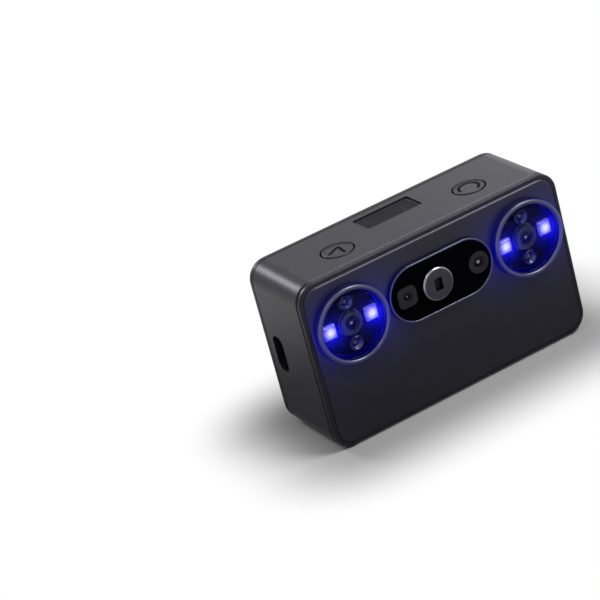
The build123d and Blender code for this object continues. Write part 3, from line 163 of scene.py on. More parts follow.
# %% [markdown]
# ## Grained finishes
# Most surfaces here are moulded, cast, blasted or coated. Such a surface has two scales of detail: its
# colour drifts a little over centimetres, and a fine grain roughens it over tenths of a millimetre. One
# function makes this kind of finish from real sizes. A grain under half a millimetre is finer than the
# picture's pixels, so it is drawn at about that size to show at all.

# %% Grained finish
# A noise hardly leaves these shares, so they stand for its least and its most
NOISE_SHARES = (0.3, 0.7)
CLOUD_DETAIL, GRAIN_DETAIL = 3.0, 2.0


def grained(name, tones, drift_mm, grain_mm, roughness, lift_mm, **values):
    """Colour goes between two tones in clouds drift_mm wide. Grain grain_mm wide carries the roughness
    between its two values and lifts the surface by lift_mm. The other values are set on the shader's own
    sockets."""
    finish, tree, place = empty_finish(name)
    share = ranged(tree, noise(tree, place, drift_mm, CLOUD_DETAIL), NOISE_SHARES)
    colour = blend(tree, share, linear(tones[0]), linear(tones[1]))
    grain = noise(tree, place, grain_mm, GRAIN_DETAIL)
    gloss = ranged(tree, grain, NOISE_SHARES, roughness)
    lift = add(tree, "ShaderNodeBump", {"Height": grain, "Distance": lift_mm * MM}).outputs[0]
    shade_with(tree, Base_Color=colour, Roughness=gloss, Normal=lift, **values)
    return finish


print("a noise is stretched from", NOISE_SHARES)

# %% [markdown]
# ## Plastics, rubbers and films
# The casing is moulded in charcoal ABS, whose mould was spark-eroded to a fine texture, and the front is a
# painted sheet. Both are nearly black head-on and turn grey where they reflect the surround at a glancing
# angle. Rubber and hidden mouldings are duller. The black acrylic and the lacquer behind the windows hardly
# reflect at all.

# %% Plastics, rubbers and films
# The dark plastics reflect white light with a slight violet cast
VIOLET_CAST = linear("#EAE4FF")
# Moulded ABS, spark-eroded texture: charcoal, nearly black head-on and grey at a glancing angle
casing_abs = grained("moulded_abs_charcoal", ("#1A181E", "#201E25"), drift_mm=24, grain_mm=0.55,
                     roughness=(0.31, 0.39), lift_mm=0.008, Specular_IOR_Level=0.27,
                     Specular_Tint=VIOLET_CAST)
# Painted polycarbonate sheet: smoother and darker than the casing
front_sheet = grained("painted_polycarbonate", ("#131217", "#18171C"), drift_mm=30, grain_mm=0.6,
                      roughness=(0.36, 0.44), lift_mm=0.004, Specular_IOR_Level=0.40,
                      Specular_Tint=VIOLET_CAST)
# Silicone rubber: black, dull, a little dusty
silicone = grained("silicone_rubber", ("#0E0E10", "#18181A"), drift_mm=6, grain_mm=0.5,
                   roughness=(0.62, 0.78), lift_mm=0.015, Specular_IOR_Level=0.3)
# Silicone rubber dyed to the casing's charcoal, for the seam behind, which hardly shows
charcoal_silicone = grained("charcoal_silicone_rubber", ("#1B191F", "#211F26"), drift_mm=6, grain_mm=0.5,
                            roughness=(0.42, 0.5), lift_mm=0.01, Specular_IOR_Level=0.25,
                            Specular_Tint=VIOLET_CAST)
# Black ABS of the strap slot, the lens baffles and the hidden modules
black_abs = grained("moulded_abs_black", ("#111113", "#19191C"), drift_mm=12, grain_mm=0.5,
                    roughness=(0.45, 0.6), lift_mm=0.01, Specular_IOR_Level=0.35)
# Fine black mesh of the vent: dull, so that its slats and slots run together
vent_mesh = grained("vent_mesh_black", ("#29272C", "#302E34"), drift_mm=8, grain_mm=0.5, roughness=(0.5, 0.6),
                    lift_mm=0.004, Specular_IOR_Level=0.14)
# Vinyl label film: bare, off-white, slightly creased
label_film = grained("vinyl_label_film", ("#D9D9D6", "#E6E6E3"), drift_mm=5, grain_mm=0.7,
                     roughness=(0.35, 0.5), lift_mm=0.006, Specular_IOR_Level=0.4)
# Polyimide film of the ribbon and the antenna: amber
polyimide = grained("polyimide_film", ("#8A5A1E", "#A06C28"), drift_mm=4, grain_mm=0.6, roughness=(0.3, 0.42),
                    lift_mm=0.004)
# Shrink film round the battery: blue-grey
shrink_film = grained("battery_shrink_film", ("#2C3440", "#38424F"), drift_mm=12, grain_mm=1.5,
                      roughness=(0.28, 0.4), lift_mm=0.02)
# Acrylic light pipe, unlit: milky grey
milky_acrylic = grained("milky_acrylic", ("#5E6064", "#6E7074"), drift_mm=3, grain_mm=0.5,
                        roughness=(0.3, 0.4), lift_mm=0.003, Transmission_Weight=0.25)
# Anti-reflection coated black acrylic of the oblong window: deep black, with hardly any reflection
black_acrylic = grained("coated_black_acrylic", ("#010104", "#020207"), drift_mm=20, grain_mm=2.0,
                        roughness=(0.06, 0.12), lift_mm=0.0005, Specular_IOR_Level=0.01)
# Matte black solder lacquer of the boards behind the round windows
black_lacquer = grained("black_board_lacquer", ("#040406", "#08080B"), drift_mm=5, grain_mm=0.6,
                        roughness=(0.4, 0.55), lift_mm=0.004, Specular_IOR_Level=0.06)
# Moulded polycarbonate round the two eyes of the oblong window: near black, satin
eye_mould = grained("moulded_polycarbonate_black", ("#0E0E12", "#16161B"), drift_mm=3, grain_mm=0.45,
                    roughness=(0.3, 0.42), lift_mm=0.004, Specular_IOR_Level=0.25)
print("plastics, rubbers and films:", len(bpy.data.materials))

# %% [markdown]
# ## Metals
# A metal reflects with its own colour and has no other shade, so its two tones are what it looks like under
# white light. Blasting and plating leave a satin surface, which the roughness gives.

# %% Metals
# Bead-blasted aluminium, anodised grey: satin, with soft broad reflections
anodised = grained("anodised_aluminium", ("#4A4A51", "#54545B"), drift_mm=9, grain_mm=0.45,
                   roughness=(0.28, 0.38), lift_mm=0.004, Metallic=1.0)
# Die-cast and machined aluminium of the bench and the heat sink
machined = grained("machined_aluminium", ("#A9A9AC", "#BDBDC0"), drift_mm=14, grain_mm=0.8,
                   roughness=(0.3, 0.45), lift_mm=0.006, Metallic=1.0)
# Nickel-plated steel of screws and brackets
nickel = grained("nickel_plated_steel", ("#8E8E90", "#A4A4A6"), drift_mm=5, grain_mm=0.5,
                 roughness=(0.22, 0.36), lift_mm=0.003, Metallic=1.0)
# Black-nickel shells of the two sockets
black_nickel = grained("black_nickel_steel", ("#19191C", "#232326"), drift_mm=5, grain_mm=0.5,
                       roughness=(0.25, 0.38), lift_mm=0.003, Metallic=1.0)
# Black-oxide steel of the two screws in the underside
black_oxide = grained("black_oxide_steel", ("#1E1E20", "#2C2C2E"), drift_mm=3, grain_mm=0.4,
                      roughness=(0.35, 0.5), lift_mm=0.004, Metallic=1.0)
# Gold-plated brass of the socket contacts
brass = grained("machined_brass", ("#B08D45", "#C6A257"), drift_mm=4, grain_mm=0.5, roughness=(0.22, 0.34),
                lift_mm=0.003, Metallic=1.0)
# Blackened brass of the tripod bush: dark, so that it hardly shows in its black pad
dark_brass = grained("blackened_brass", ("#2B2721", "#3A342B"), drift_mm=4, grain_mm=0.5,
                     roughness=(0.35, 0.5), lift_mm=0.003, Metallic=1.0)
# Dark anodised barrels of the lenses
barrel = grained("anodised_lens_barrel", ("#26262C", "#303037"), drift_mm=4, grain_mm=0.45,
                 roughness=(0.36, 0.48), lift_mm=0.004, Metallic=0.3, Specular_IOR_Level=0.3)
print("with the metals:", len(bpy.data.materials))

# %% [markdown]
# ## Light from the lamps
# Two lamps glow beside each camera. They are so bright that they look white, with a violet rim, while the
# light that they shed is blue. Round them a blue glow is painted as emission, in the window's glass and on
# the ring, the cups and the panel beside it: painted light that stands in for the lamps' spill and glare.
# All of it depends on one thing: how far a point is from the nearest lamp, seen from the front.
# The casing is folded about its middle, then each window about its camera, so one distance serves all four
# lamps.

# %% Distance from the nearest lamp
camera_low, camera_high = span("right_camera")
lamp_low, lamp_high = span("right_blue_leds")
WINDOW_X, _, WINDOW_Z = (camera_low + camera_high) / 2
# Width of one lamp's face
LED_WIDTH = 5.0
# Keeps what is across and up, and drops the depth
FACE_ON = (1, 0, 1)
LED_OFFSET = (lamp_high[0] - lamp_low[0] - LED_WIDTH) / 2


def lamp_distance(tree):
    """Distance from the nearest lamp: take the window's x and z from the sizes of x and z, take the
    lamp's offset from the size of what is left of x, and measure the length of both."""
    place = add(tree, "ShaderNodeTexCoord").outputs["Object"]
    for fold in ((WINDOW_X, 0, WINDOW_Z), (LED_OFFSET, 0, 0)):
        step = tuple(float(v) * MM for v in fold)
        place = vector(tree, "SUBTRACT", vector(tree, "ABSOLUTE", place), step)
    return vector(tree, "LENGTH", vector(tree, "MULTIPLY", place, FACE_ON))


def painted_glow(tree, layers):
    """Painted glow round the lamps: a sum of layers, each a strength times e to the minus distance over
    a reach in millimetres.
    """
    distance, total = lamp_distance(tree), 0.0
    for strength, reach_mm in layers:
        fall = number(tree, "EXPONENT", number(tree, "MULTIPLY", distance, -1 / (reach_mm * MM)))
        total = number(tree, "MULTIPLY_ADD", fall, strength, total)
    return total


# Blue of the glow painted round the lamps, as emission on surfaces that are no lamps
PAINTED_GLOW_BLUE = linear("#1216FF")
# Layers of painted glow, each with its strength and its reach in millimetres
GLASS_PAINTED_GLOW = ((1.2, 1.9), (0.015, 15.0))
PANEL_PAINTED_GLOW = ((0.5, 5.6),)
RING_PAINTED_GLOW = ((0.5, 4.5), (0.05, 20.0))
# The front sheet and the anodised rings and cups get the painted blue glow, as emission
for painted_glow_finish, layers in ((front_sheet, PANEL_PAINTED_GLOW), (anodised, RING_PAINTED_GLOW)):
    painted_glow_shader = next(node for node in painted_glow_finish.node_tree.nodes if node.type == "BSDF_PRINCIPLED")
    painted_glow_shader.inputs["Emission Color"].default_value = PAINTED_GLOW_BLUE
    painted_glow_finish.node_tree.links.new(painted_glow(painted_glow_finish.node_tree, layers), painted_glow_shader.inputs["Emission Strength"])
print("lamps", round(LED_OFFSET, 2), "mm beside cameras at", round(WINDOW_X, 2), round(WINDOW_Z, 2))

# %% [markdown]
# ## Lamps and window glass
# The lamp's face is a small square of clear resin over the glowing chips. Its light falls off from the
# middle, so it shows white there and violet at the rim. The glass in front is coated against reflections.
# Near the lamps the glass carries a painted blue glow, emission that stands in for the lamps' glare.

# %% Lamp and window finishes
LAMP_CORE, LAMP_RIM = linear("#F1EFFF"), linear("#5950BC")
CORE_MM, RIM_MM = 0.3, 3.0
# The chips lie in a grid. Each glows most within the first share of its cell, and least from the second.
CHIP_MM, CHIP_SHARES, CHIP_GLOW = 1.25, (0.2, 0.5), (1.4, 0.75)
led_resin, tree, place = empty_finish("lit_led_resin")
share = ranged(tree, lamp_distance(tree), (CORE_MM * MM, RIM_MM * MM), interpolation_type="SMOOTHSTEP")
glow = blend(tree, share, LAMP_CORE, LAMP_RIM)
chips = add(tree, "ShaderNodeTexVoronoi", {"Vector": place, "Scale": 1 / (CHIP_MM * MM), "Randomness": 0.0},
            distance="CHEBYCHEV").outputs["Distance"]
power = ranged(tree, chips, CHIP_SHARES, CHIP_GLOW)
shade_with(tree, Base_Color=linear("#2A2838"), Roughness=0.25, Emission_Color=glow, Emission_Strength=power)

# The coating takes away nearly all of the glass's reflection, so the index of refraction is set low
COATED_IOR = 1.05
window_glass, tree, _ = empty_finish("coated_window_glass")
# Emission of the glass is the painted blue glow round the lamps, not light of its own
shade_with(tree, Base_Color=linear("#EEF0FF"), Roughness=0.02, IOR=COATED_IOR, Transmission_Weight=1.0,
           Emission_Color=PAINTED_GLOW_BLUE, Emission_Strength=painted_glow(tree, GLASS_PAINTED_GLOW))
print("lamp and glass finishes ready")

# %% [markdown]
# ## Turned silver disc
# The projector's cap is turned on a lathe, which leaves fine rings about its middle. The rings are a sine of
# the distance from the middle. Real ones are a twentieth of a millimetre apart. They are drawn wider here so
# that they catch the light. The rounded edge is polished, so its upper side shows the white surround as a
# bright crescent.

# %% Turned aluminium
TURNING_MM, TURNING_LIFT_MM = 0.45, 0.004
POLISHED_MM, BLEND_MM = 0.8, 0.3
TURNED_ROUGHNESS, POLISHED_ROUGHNESS = 0.26, 0.16
disc_low, disc_high = span("projector_ring")
disc_middle = (disc_low + disc_high) / 2
polished = ((disc_high[0] - disc_low[0]) / 2 - POLISHED_MM) * MM
turned_disc, tree, place = empty_finish("turned_aluminium")
centred = add(tree, "ShaderNodeMapping", {"Vector": place, "Location": tuple(-disc_middle * MM)}).outputs[0]
radius = vector(tree, "LENGTH", vector(tree, "MULTIPLY", centred, FACE_ON))
rings = number(tree, "SINE", number(tree, "MULTIPLY", radius, 2 * math.pi / (TURNING_MM * MM)))
lift = add(tree, "ShaderNodeBump", {"Height": rings, "Distance": TURNING_LIFT_MM * MM}).outputs[0]
turned_tone = blend(tree, rings, linear("#3A3A41"), linear("#46464D"))
edge = ranged(tree, radius, (polished, polished + BLEND_MM * MM))
tone = blend(tree, edge, turned_tone, linear("#8E8E96"))
gloss = ranged(tree, edge, end=(TURNED_ROUGHNESS, POLISHED_ROUGHNESS))
shade_with(tree, Base_Color=tone, Metallic=1.0, Roughness=gloss, Normal=lift)
print("projector disc at", [round(v, 2) for v in disc_middle])

# %% [markdown]
# ## Lens glass and screen glass
# A coated lens is nearly black, with a violet sheen, and the small lamps have domes of smoked epoxy. The
# screen's cover glass is coated too, though less. Fingers leave faint smudges on it, which are soft clouds
# of roughness about a centimetre wide.

# %% Lens and screen glass
lens_glass = grained("coated_lens_glass", ("#06060D", "#0B0A14"), drift_mm=3, grain_mm=1.2,
                     roughness=(0.05, 0.09), lift_mm=0.0002, Specular_IOR_Level=0.1)
# Smoked epoxy of the small lamps: grey-violet and glossy
smoked_epoxy = grained("smoked_epoxy", ("#2A2A38", "#363646"), drift_mm=2, grain_mm=0.6,
                       roughness=(0.08, 0.14), lift_mm=0.0005, Specular_IOR_Level=0.5)
# The middle of a camera's lens sends light back from the glass and the chip behind it
pupil_glass = grained("coated_pupil_glass", ("#80829A", "#9496AE"), drift_mm=2, grain_mm=0.6,
                      roughness=(0.08, 0.14), lift_mm=0.0002, Metallic=1.0)
SCREEN_IOR = 1.2
SMUDGE_MM, SMUDGE_DETAIL, SMUDGE_SHARES, SMUDGE_ROUGHNESS = 14.0, 4.0, (0.45, 0.75), (0.02, 0.10)
screen_glass, tree, place = empty_finish("screen_cover_glass")
wipe = ranged(tree, noise(tree, place, SMUDGE_MM, SMUDGE_DETAIL), SMUDGE_SHARES, SMUDGE_ROUGHNESS)
shade_with(tree, Base_Color=linear("#E9F0EE"), Roughness=wipe, IOR=SCREEN_IOR, Transmission_Weight=1.0)
print("index of the window glass", COATED_IOR, "and of the screen glass", SCREEN_IOR)

# %% [markdown]
# ## Display and boards
# The display is dark and softly lit: its lit area is a little brighter than the black border, and ends
# before one side. The circuit boards have green lacquer over copper traces: straight bands that show as a
# lighter green.

# %% Display and board finishes
# Ends of the lit area, across and up from the display's middle
LIT_X_MM, LIT_Z_MM, LIT_EDGE_MM = (-36.8, 46.0), (-21.0, 22.0), 0.3
LIT_DRIFT_MM, LIT_DETAIL, LIT_LEVELS = 40.0, 1.0, (0.5, 1.5)
display_low, display_high = span("display_panel")
display_middle = (display_low + display_high) / 2
display_finish, tree, place = empty_finish("lit_display_panel")
axes = add(tree, "ShaderNodeSeparateXYZ", {0: place}).outputs
inside = 1.0
for axis, (low, high), offset in ((0, LIT_X_MM, 0.0), (2, LIT_Z_MM, display_middle[2])):
    half, mid = (high - low) / 2 * MM, ((high + low) / 2 + float(offset)) * MM
    away = number(tree, "ABSOLUTE", number(tree, "SUBTRACT", axes[axis], mid))
    edge = ranged(tree, away, (half - LIT_EDGE_MM * MM, half), (1, 0))
    inside = number(tree, "MULTIPLY", edge, inside)
drift = ranged(tree, noise(tree, place, LIT_DRIFT_MM, LIT_DETAIL), end=LIT_LEVELS)
lit = number(tree, "MULTIPLY", drift, inside)
shade_with(tree, Base_Color=linear("#060708"), Roughness=0.3, Emission_Color=linear("#232A2A"),
           Emission_Strength=lit)

TRACE_CELL_MM = 6.4
board_lacquer, tree, place = empty_finish("green_board_lacquer")
traces = add(tree, "ShaderNodeTexBrick", {
    "Vector": place, "Scale": 1 / (TRACE_CELL_MM * MM), "Mortar Size": 0.03, "Mortar": linear("#2F8C50"),
    "Color1": linear("#1E6B3C"), "Color2": linear("#1A5A34")}).outputs[0]
shade_with(tree, Base_Color=traces, Roughness=0.35)
print("display lit from", LIT_X_MM, "by", LIT_Z_MM, "mm")

# %% [markdown]
# ## Finishes onto the solids
# Each solid's record names its material slot. The slot picks the finish, and a few solids that share a slot
# with something unlike them get their own.

# %% Assign the finishes
finish_of_slot = {
    "casing": casing_abs, "front_panel": front_sheet, "seal": silicone, "window_ring": anodised,
    "projector_ring": turned_disc, "window_glass": window_glass, "screen_glass": screen_glass,
    "black_panel": black_acrylic, "lens": barrel, "blue_led": led_resin, "display": display_finish,
    "grille": vent_mesh, "socket": black_nickel, "light_pipe": milky_acrylic, "label": label_film,
    "steel": nickel, "black_screw": black_oxide, "brass": brass, "bench": machined,
    "board": board_lacquer, "ribbon": polyimide, "module": black_abs, "battery": shrink_film}
finish_of_node = {
    "strap_cup": black_abs, "strap_bar": black_oxide, "colour_camera": eye_mould,
    "distance_sensor": eye_mould, "rear_seal": charcoal_silicone, "tripod_bush": dark_brass,
    "left_lamp_board": black_lacquer, "right_lamp_board": black_lacquer}
for row in frame["record"]["subparts"]:
    solid = nodes[row["node"]]
    finish = finish_of_node.get(row["node"], finish_of_slot[row["material_slot"]])
    solid.data.materials.clear()
    solid.data.materials.append(finish)

# %% [markdown]
# ## Building pieces from grids
# Every added piece is a grid of points: rows of rings, each ring closed on itself. A turned part is a row of
# circles along an axis. A bar is a small rectangle carried along a path, pinched shut at both ends. Both are
# worked out as whole arrays.

# %% Grids of points
RING_POINTS = 64


def turned(middle, radii, heights, axis, columns=RING_POINTS):
    """Rings about an axis through the middle: radius times cosine and sine across it, and height along
    it. Radii and heights hold one value for each ring, or one for each point."""
    angle = np.linspace(0, 2 * np.pi, columns, endpoint=False)
    rings = len(radii)
    radius = np.array([np.broadcast_to(r, columns) for r in radii], float)
    height = np.array([np.broadcast_to(h, columns) for h in heights], float).reshape(rings, columns)
    across, up = middle[0] + radius * np.cos(angle), middle[1] + radius * np.sin(angle)
    return np.stack([across, height, up] if axis == "Y" else [across, up, height], axis=-1)


def bar(path, width, thickness, facing, closed=False):
    """A flat bar along a path: each point gets four corners, half the width to either side of the path
    and half the thickness along the facing direction. An open bar is pinched shut at its ends."""
    path, facing = np.asarray(path, float), np.asarray(facing, float)
    along = np.roll(path, -1, 0) - np.roll(path, 1, 0) if closed else np.gradient(path, axis=0)
    aside = np.cross(along, facing)
    aside /= np.linalg.norm(aside, axis=1, keepdims=True)
    sides = ((1, 1), (-1, 1), (-1, -1), (1, -1))
    corners = [path + a * aside * width / 2 + b * facing * thickness / 2 for a, b in sides]
    rings = np.stack(corners, axis=1)
    if closed:
        return rings
    ends = [np.repeat(path[i][None, None], 4, axis=1) for i in (0, -1)]
    return np.concatenate([ends[0], rings, ends[1]])


print("points in a ring:", RING_POINTS)

# %% [markdown]
# ## From grids to a piece
# One function turns a list of grids into a closed mesh. Points that fall together, as at a dome's top or a
# bar's end, are merged, so that the mesh closes. The faces are then turned outwards and shaded smooth,
# except across sharp edges. Each piece rides on the body that carries it.

# %% Make a piece
MERGE_MM = 0.0005
SHARP_DEG = 35.0


def make_piece(name, grids, finish, body="casing", closed=False, shade=None):
    """One mesh from grids of points in millimetres. Each point joins its neighbours along the ring and
    along the rows, and the rows close on themselves where closed says so. Shade gives each point its
    brightness."""
    faces, start = [], 0
    for grid in grids:
        rows, columns = grid.shape[:2]
        index = np.arange(start, start + rows * columns).reshape(rows, columns)
        index = np.vstack([index, index[:1]]) if closed else index
        beside = np.roll(index, -1, axis=1)
        faces.append(np.stack([index[:-1], beside[:-1], beside[1:], index[1:]], axis=-1).reshape(-1, 4))
        start += rows * columns
    points = np.concatenate([grid.reshape(-1, 3) for grid in grids]) * MM
    mesh = bpy.data.meshes.new(name)
    mesh.from_pydata(points.tolist(), [], np.concatenate(faces).tolist())
    if shade is not None:
        brightness = mesh.attributes.new("shade", "FLOAT", "POINT")
        brightness.data.foreach_set("value", shade.astype(np.float32).ravel())
    shell = bmesh.new()
    shell.from_mesh(mesh)
    bmesh.ops.remove_doubles(shell, verts=shell.verts, dist=MERGE_MM * MM)
    bmesh.ops.recalc_face_normals(shell, faces=shell.faces)
    shell.to_mesh(mesh)
    shell.free()
    mesh.polygons.foreach_set("use_smooth", np.ones(len(mesh.polygons), bool))
    mesh.set_sharp_from_angle(angle=math.radians(SHARP_DEG))
    piece = bpy.data.objects.new(name, mesh)
    bpy.context.scene.collection.objects.link(piece)
    mesh.materials.append(finish)
    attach(piece, body)
    print(name, "faces", len(mesh.polygons))
    return piece


print("points closer than", MERGE_MM, "mm are merged")

# %% [markdown]
# ## Seam behind
# The casing's rear seam is filled nearly flush with rubber of the casing's own colour. The solid is a sunk
# seal, so a band that lies just under the surface takes its place: a small rectangle carried round the
# casing's outline, which is four quarter circles joined by straight lines.

# %% Rear seam band
# Radius of the casing's corners, seen from the front
CASING_CORNER = 8.3
BAND_SINK, BAND_THICKNESS = 0.06, 1.2
QUARTER_POINTS = 16


def rounded_outline(half_width, half_height, corner, y, z):
    """Four quarter circles about the corners' middles, one after the other round the outline. Straight
    lines join them."""
    angle = (np.linspace(0, np.pi / 2, QUARTER_POINTS) + np.arange(4)[:, None] * np.pi / 2).ravel()
    sides = np.repeat([[1, 1], [-1, 1], [-1, -1], [1, -1]], QUARTER_POINTS, axis=0)
    across = sides[:, 0] * (half_width - corner) + corner * np.cos(angle)
    up = sides[:, 1] * (half_height - corner) + corner * np.sin(angle)
    return np.stack([across, np.full(len(angle), y), z + up], axis=-1)


BACK = (0, 1, 0)
UP = (0, 0, 1)
seal_low, seal_high = span("rear_seal")
house_low, house_high = span("mid_housing")
inset = BAND_SINK + BAND_THICKNESS / 2
half_width, _, half_height = (house_high - house_low) / 2 - inset
seam = rounded_outline(half_width, half_height, CASING_CORNER - inset, (seal_low[1] + seal_high[1]) / 2,
                       (house_low[2] + house_high[2]) / 2)
band_grid = bar(seam, BAND_THICKNESS, seal_high[1] - seal_low[1], BACK, closed=True)
band = make_piece("rear_seam_band", [band_grid], charcoal_silicone, closed=True)
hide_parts("rear_seal")

# %% [markdown]
# ## Camera lenses
# Behind each aperture sits a domed lens with a stepped baffle round it, which keeps stray light out. Both
# are turned shapes about the lens's own axis. The dome's height falls with the square of the radius, as a
# sphere's does near its top.

# %% Domes and baffles
BAFFLE_STEPS, BAFFLE_REACH_SHARE = 3, 0.8
DOME_RINGS, DOME_EDGE_MM = 10, 0.05


def dome_grid(middle, radius, y_floor, rise):
    """A closed dome over a flat back: height falls from the rise with the square of the radius."""
    share = np.linspace(0, 1, DOME_RINGS)
    radii = np.concatenate([share * radius, [radius, 0]])
    heights = np.concatenate([y_floor - rise * (1 - share ** 2) - DOME_EDGE_MM, [y_floor, y_floor]])
    return turned(middle, radii, heights, "Y")


def baffle_grid(middle, inner, outer, y_floor, depth):
    """A staircase ring: each step goes outwards by a share of the width and forwards by one of the depth."""
    share = np.repeat(np.arange(BAFFLE_STEPS + 1) / BAFFLE_STEPS, 2)
    radii = np.concatenate([[outer, inner], inner + (outer - inner) * share[1:-1], [outer]])
    steps = y_floor - depth * share[2:] * BAFFLE_REACH_SHARE
    heights = np.concatenate([[y_floor, y_floor], steps, [y_floor]])
    return turned(middle, radii, heights, "Y")


print("rings in a dome:", DOME_RINGS, "steps in a baffle:", BAFFLE_STEPS)

# %% Lenses in their barrels
LENS_RISE_SHARE, PUPIL_RISE = 0.6, 0.12
# Depth of each aperture's floor, and radii of the aperture, the lens and its bright pupil
CAMERA_EYE = {"depth": 0.8, "aperture": 3.4, "lens": 2.5, "pupil": 0.8}
COLOUR_EYE = {"depth": 0.9, "aperture": 3.0, "lens": 2.1, "pupil": 0.8}
SENSOR_EYE = {"depth": 0.9, "aperture": 2.35, "lens": 1.6, "pupil": 0.3}
eyes = {"left_camera": CAMERA_EYE, "right_camera": CAMERA_EYE, "colour_camera": COLOUR_EYE,
        "distance_sensor": SENSOR_EYE}
for node, eye in eyes.items():
    low, high = span(node)
    middle = (low + high)[[0, 2]] / 2
    floor_y = low[1] + eye["depth"]
    rise = eye["depth"] * LENS_RISE_SHARE
    lens = dome_grid(middle, eye["lens"], floor_y, rise)
    pupil = dome_grid(middle, eye["pupil"], floor_y - rise + PUPIL_RISE, 2 * PUPIL_RISE)
    baffle = baffle_grid(middle, eye["lens"], eye["aperture"], floor_y, eye["depth"])
    make_piece(node + "_lens", [lens], lens_glass)
    make_piece(node + "_pupil", [pupil], pupil_glass)
    make_piece(node + "_baffle", [baffle], black_abs, closed=True)

# %% [markdown]
# ## Small lenses and the projector's lens
# Above and below each camera is a small lens in a bright cup. The solid is a plain rounded stud, so a dark
# turned bezel, a conical cup of anodised metal and a smoked dome take its place. Only the far wall of the
# cup turns towards the viewer, so it shows as a crescent. Behind the upright aperture of the silver disc
# lies the projector's own lens.

# %% Small lenses
BEZEL_WIDTH, BEZEL_ROUNDING = 0.45, 0.2
CUP_FOOT_RADIUS, CUP_DEPTH = 1.5, 1.3
SMALL_DOME_RISE, SMALL_DOME_GAP = 1.0, 0.05
PROJECTOR_LENS_RADIUS, PROJECTOR_LENS_RISE = 3.6, 0.2
for side in ("left", "right"):
    low, high = span(side + "_lamp_lenses")
    radius = (high[0] - low[0]) / 2
    x = (low[0] + high[0]) / 2
    inner = radius - BEZEL_WIDTH
    foot_y = low[1] + CUP_DEPTH
    bezels, cups, domes = [], [], []
    for z in (low[2] + radius, high[2] - radius):
        bezels.append(turned((x, z), [radius, radius, radius - BEZEL_ROUNDING, inner, inner],
                             [high[1], low[1] + BEZEL_ROUNDING, low[1], low[1], high[1]], "Y"))
        cups.append(turned((x, z), [inner, CUP_FOOT_RADIUS, CUP_FOOT_RADIUS, inner],
                           [low[1], foot_y, high[1], high[1]], "Y"))
        domes.append(dome_grid((x, z), CUP_FOOT_RADIUS - SMALL_DOME_GAP, high[1], SMALL_DOME_RISE))
    bezel = make_piece(side + "_lamp_bezels", bezels, barrel, closed=True)
    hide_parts(side + "_lamp_lenses")
    # The cups' anodised finish carries the painted blue glow round the lamps
    make_piece(side + "_lamp_cups", cups, anodised, closed=True)
    make_piece(side + "_lamp_domes", domes, smoked_epoxy)
engine_front = span("projector_module")[0][1]
projector_lens = dome_grid(disc_middle[[0, 2]], PROJECTOR_LENS_RADIUS, engine_front, PROJECTOR_LENS_RISE)
make_piece("projector_lens", [projector_lens], lens_glass)

# %% [markdown]
# ## Button marks
# Each button carries a plain printed mark in its dished top: a chevron on the button that starts a scan, and
# an open ring on the power button. A mark is a thin bar of ink along a path. The chevron's path is a
# hyperbola, which is two straight legs with a soft bend between them.

# %% Marks on the buttons
MARK_INK, BUTTON_DISH = 0.03, 0.15
CHEVRON_SLOPE, CHEVRON_REACH, CHEVRON_BEND, CHEVRON_WIDTH = 1.9, 3.3, 0.35, 1.3
CHEVRON_DEG = 57.0
RING_MARK_RADIUS, RING_MARK_WIDTH, RING_MARK_DEG = 4.1, 1.25, (-66.0, 190.0)
# Screen-printed ink: black and dull
ink = grained("printed_ink", ("#08080A", "#0F0F12"), drift_mm=2, grain_mm=0.4, roughness=(0.6, 0.75),
              lift_mm=0.002, Specular_IOR_Level=0.03)


def dish_of(node):
    """Middle of a button's top, and the height of its dished floor."""
    low, high = span(node)
    return (low + high)[:2] / 2, high[2] - BUTTON_DISH


def chevron(middle, z, reach, bend, facing_deg, points=49):
    """A hyperbola: the step back is the root of bend squared plus the square of slope times the step
    aside, less half the mark's height. The whole is turned to face an angle."""
    aside = np.linspace(-reach, reach, points)
    back = np.sqrt(bend ** 2 + (CHEVRON_SLOPE * aside) ** 2) - CHEVRON_SLOPE * reach / 2
    turn = np.radians(facing_deg)
    x = middle[0] - back * np.cos(turn) - aside * np.sin(turn)
    y = middle[1] - back * np.sin(turn) + aside * np.cos(turn)
    return np.stack([x, y, np.full(points, z)], axis=-1)


def arc(middle, z, radius, start_deg, end_deg, points=64):
    """Points on a circle between two angles, at one height."""
    angle = np.radians(np.linspace(start_deg, end_deg, points))
    x, y = middle[0] + radius * np.cos(angle), middle[1] + radius * np.sin(angle)
    return np.stack([x, y, np.full(points, z)], axis=-1)


scan_middle, scan_floor = dish_of("scan_button")
scan_path = chevron(scan_middle, scan_floor, CHEVRON_REACH, CHEVRON_BEND, CHEVRON_DEG)
scan_bar = bar(scan_path, CHEVRON_WIDTH, MARK_INK, UP)
make_piece("scan_mark", [scan_bar], ink, "scan_button")
power_middle, power_floor = dish_of("power_button")
power_path = arc(power_middle, power_floor, RING_MARK_RADIUS, *RING_MARK_DEG)
power_bar = bar(power_path, RING_MARK_WIDTH, MARK_INK, UP)
make_piece("power_mark", [power_bar], ink, "power_button")

# %% [markdown]
# ## Tripod thread
# The tripod bush has a quarter-inch thread with twenty turns to the inch. Its wall is one grid: at each
# height and angle the radius follows a triangle wave of height over pitch less the turn, which is a helix.
# The thread fades out within one turn of either end.

